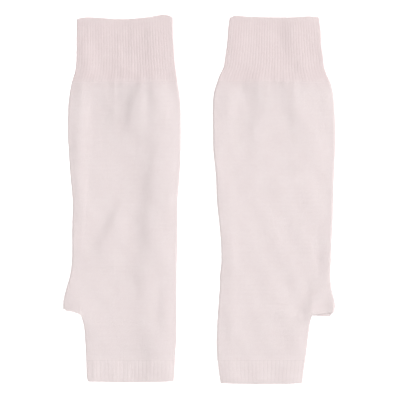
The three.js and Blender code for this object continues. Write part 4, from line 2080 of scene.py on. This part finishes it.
@dataclass
class Glove:
    """One glove, made of its four stretches of knit and what is sewn on them."""

    plan: GlovePlan
    finishes: Finishes

    def build(self) -> None:
        """Makes every piece of the glove, hides the parts they stand for and hangs them from the root."""
        name, finishes = self.plan.name, self.finishes
        form = GloveForm(self.plan)
        parts: tuple[tuple[EdgedTube | JerseyTube, bpy.types.Material], ...] = (
            (ArmCuff(form), finishes.cuff_rib),
            (JerseyTube(form), finishes.jersey),
            (ThumbStub(form), finishes.jersey),
            (HandBand(form), finishes.band_rib),
        )
        knitted = [part.cloth() for part, _ in parts]
        knits = [
            cloth.build(f"{name}_{part.label}_knit", material)
            for (part, material), (cloth, _) in zip(parts, knitted)
        ]
        edged = [
            self.edge_stitches(part, cloth, edge)
            for (part, _), (cloth, edge) in zip(parts, knitted)
        ]
        crotch_stitches = CrotchStitches(form).build(f"{name}_crotch_stitches", finishes.edge_yarn)
        cloths = [cloth for cloth, _ in knitted]
        fuzz = Fuzz(self.plan.seed).build(f"{name}_fuzz", cloths, finishes.fuzz)
        for (part, _), knit, stitches in zip(parts, knits, edged):
            self.declare(part, knit, stitches or [crotch_stitches, fuzz])

    def edge_stitches(
        self,
        part: EdgedTube | JerseyTube,
        cloth: KnitCloth,
        edge: Ring | None,
    ) -> list[bpy.types.Object]:
        """Makes the chain along a stretch's free edge.

        Args:
            part: The stretch.
            cloth: Its cloth.
            edge: The ring at its free edge, if it has one.

        Returns:
            The chain, or nothing for a stretch with no free edge.
        """
        if edge is None:
            return []
        name = f"{self.plan.name}_{part.label}_edge_stitches"
        return [EdgeStitches().build(name, cloth, edge, self.finishes.edge_yarn)]

    def declare(
        self,
        part: EdgedTube | JerseyTube,
        knit: bpy.types.Object,
        sewn: list[bpy.types.Object],
    ) -> None:
        """Hides the part that a stretch stands for, hangs it and the pieces on it from the root, and logs
        their faces and the size that it is knitted to.

        Args:
            part: The stretch.
            knit: Its cloth.
            sewn: The pieces on it.
        """
        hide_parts(f"{self.plan.name}_{part.label}")
        for piece in (knit, *sewn):
            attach(piece, "root")
            LOG.info("%s: %d faces", piece.name, len(piece.data.polygons))
        flat = part.flat()
        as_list(sewn)
        LOG.info("%s flat: %.0f by %.0f mm", knit.name, flat[0] / MM, flat[1] / MM)


@dataclass(frozen=True)
class StudioLight:
    """A large soft lamp that points at the gloves."""

    name: str
    place: Point
    size: float
    power: float
    colour: tuple[float, float, float] = (1.0, 1.0, 1.0)

    def build(self) -> None:
        """Makes the lamp."""
        data = bpy.data.lights.new(self.name, "AREA")
        data.shape = "SQUARE"
        data.size = self.size
        data.energy = self.power
        data.color = self.colour
        lamp = bpy.data.objects.new(self.name, data)
        lamp.location = self.place
        lamp.rotation_euler = (-Vector(self.place)).to_track_quat("-Z", "Y").to_euler()
        bpy.context.scene.collection.objects.link(lamp)


@dataclass(frozen=True)
class Studio:
    """The floor, the lights and the even light all round."""

    floor_size: float = 6.0
    surround: float = 0.705
    lights: tuple[StudioLight, ...] = (
        StudioLight("key_light", (3.6, 1.2, 1.38), 2.4, 196.0),
        StudioLight("fill_light", (-3.0, -2.1, 0.8), 1.6, 38.0),
        StudioLight("top_light", (-0.1, 0.2, 1.6), 1.4, 5.2),
    )

    def build(self) -> None:
        """Makes the floor, the lights and the world."""
        half = self.floor_size / 2 / MM
        corners = ((-half, -half), (half, -half), (half, half), (-half, half))
        places = [Vector((*corner, 0.0)) for corner in corners]
        floor = make_mesh("floor", places, [(0, 1, 2, 3)], (), set(), FloorFinish().material())
        for light in self.lights:
            light.build()
        world = bpy.data.worlds.new("studio")
        world.use_nodes = True
        background = world.node_tree.nodes["Background"]
        background.inputs["Color"].default_value = WHITE
        background.inputs["Strength"].default_value = self.surround
        bpy.context.scene.world = world
        bpy.context.scene.view_settings.view_transform = "Standard"
        LOG.info("studio: %d lights", len(self.lights))


@dataclass(frozen=True)
class OverheadCamera:
    """A camera that looks straight down, framed as the photograph."""

    frame_width: float = 0.36
    middle: tuple[float, float] = (0.00054, -0.00036)
    height: float = 1.2
    sensor: float = 36.0
    cloth_height: float = 0.0045

    def build(self) -> None:
        """Makes the camera and gives it to the scene."""
        data = bpy.data.cameras.new("overhead_camera")
        data.sensor_width = self.sensor
        data.lens = self.sensor * (self.height - self.cloth_height) / self.frame_width
        camera = bpy.data.objects.new("overhead_camera", data)
        camera.location = (*self.middle, self.height)
        bpy.context.scene.collection.objects.link(camera)
        bpy.context.scene.camera = camera


def main() -> None:
    """Builds the camera, the studio and the two gloves."""
    logging.basicConfig(level=logging.INFO, format="%(message)s")
    OverheadCamera().build()
    Studio().build()
    finishes = Finishes(
        jersey=JerseyFinish().material(),
        cuff_rib=RibFinish("cuff_rib_knit", 2, CUFF_TINT, CUFF_SEAM_TINT).material(),
        band_rib=RibFinish("band_rib_knit", 3, BAND_TINT, BAND_TINT).material(),
        edge_yarn=LooseYarnFinish("edge_yarn").material(),
        fuzz=LooseYarnFinish("fuzz_fibres").material(),
    )
    for plan in (LEFT, RIGHT):
        Glove(plan, finishes).build()
        LOG.info("%s glove done", plan.name)


if __name__ == "__main__":
    main()
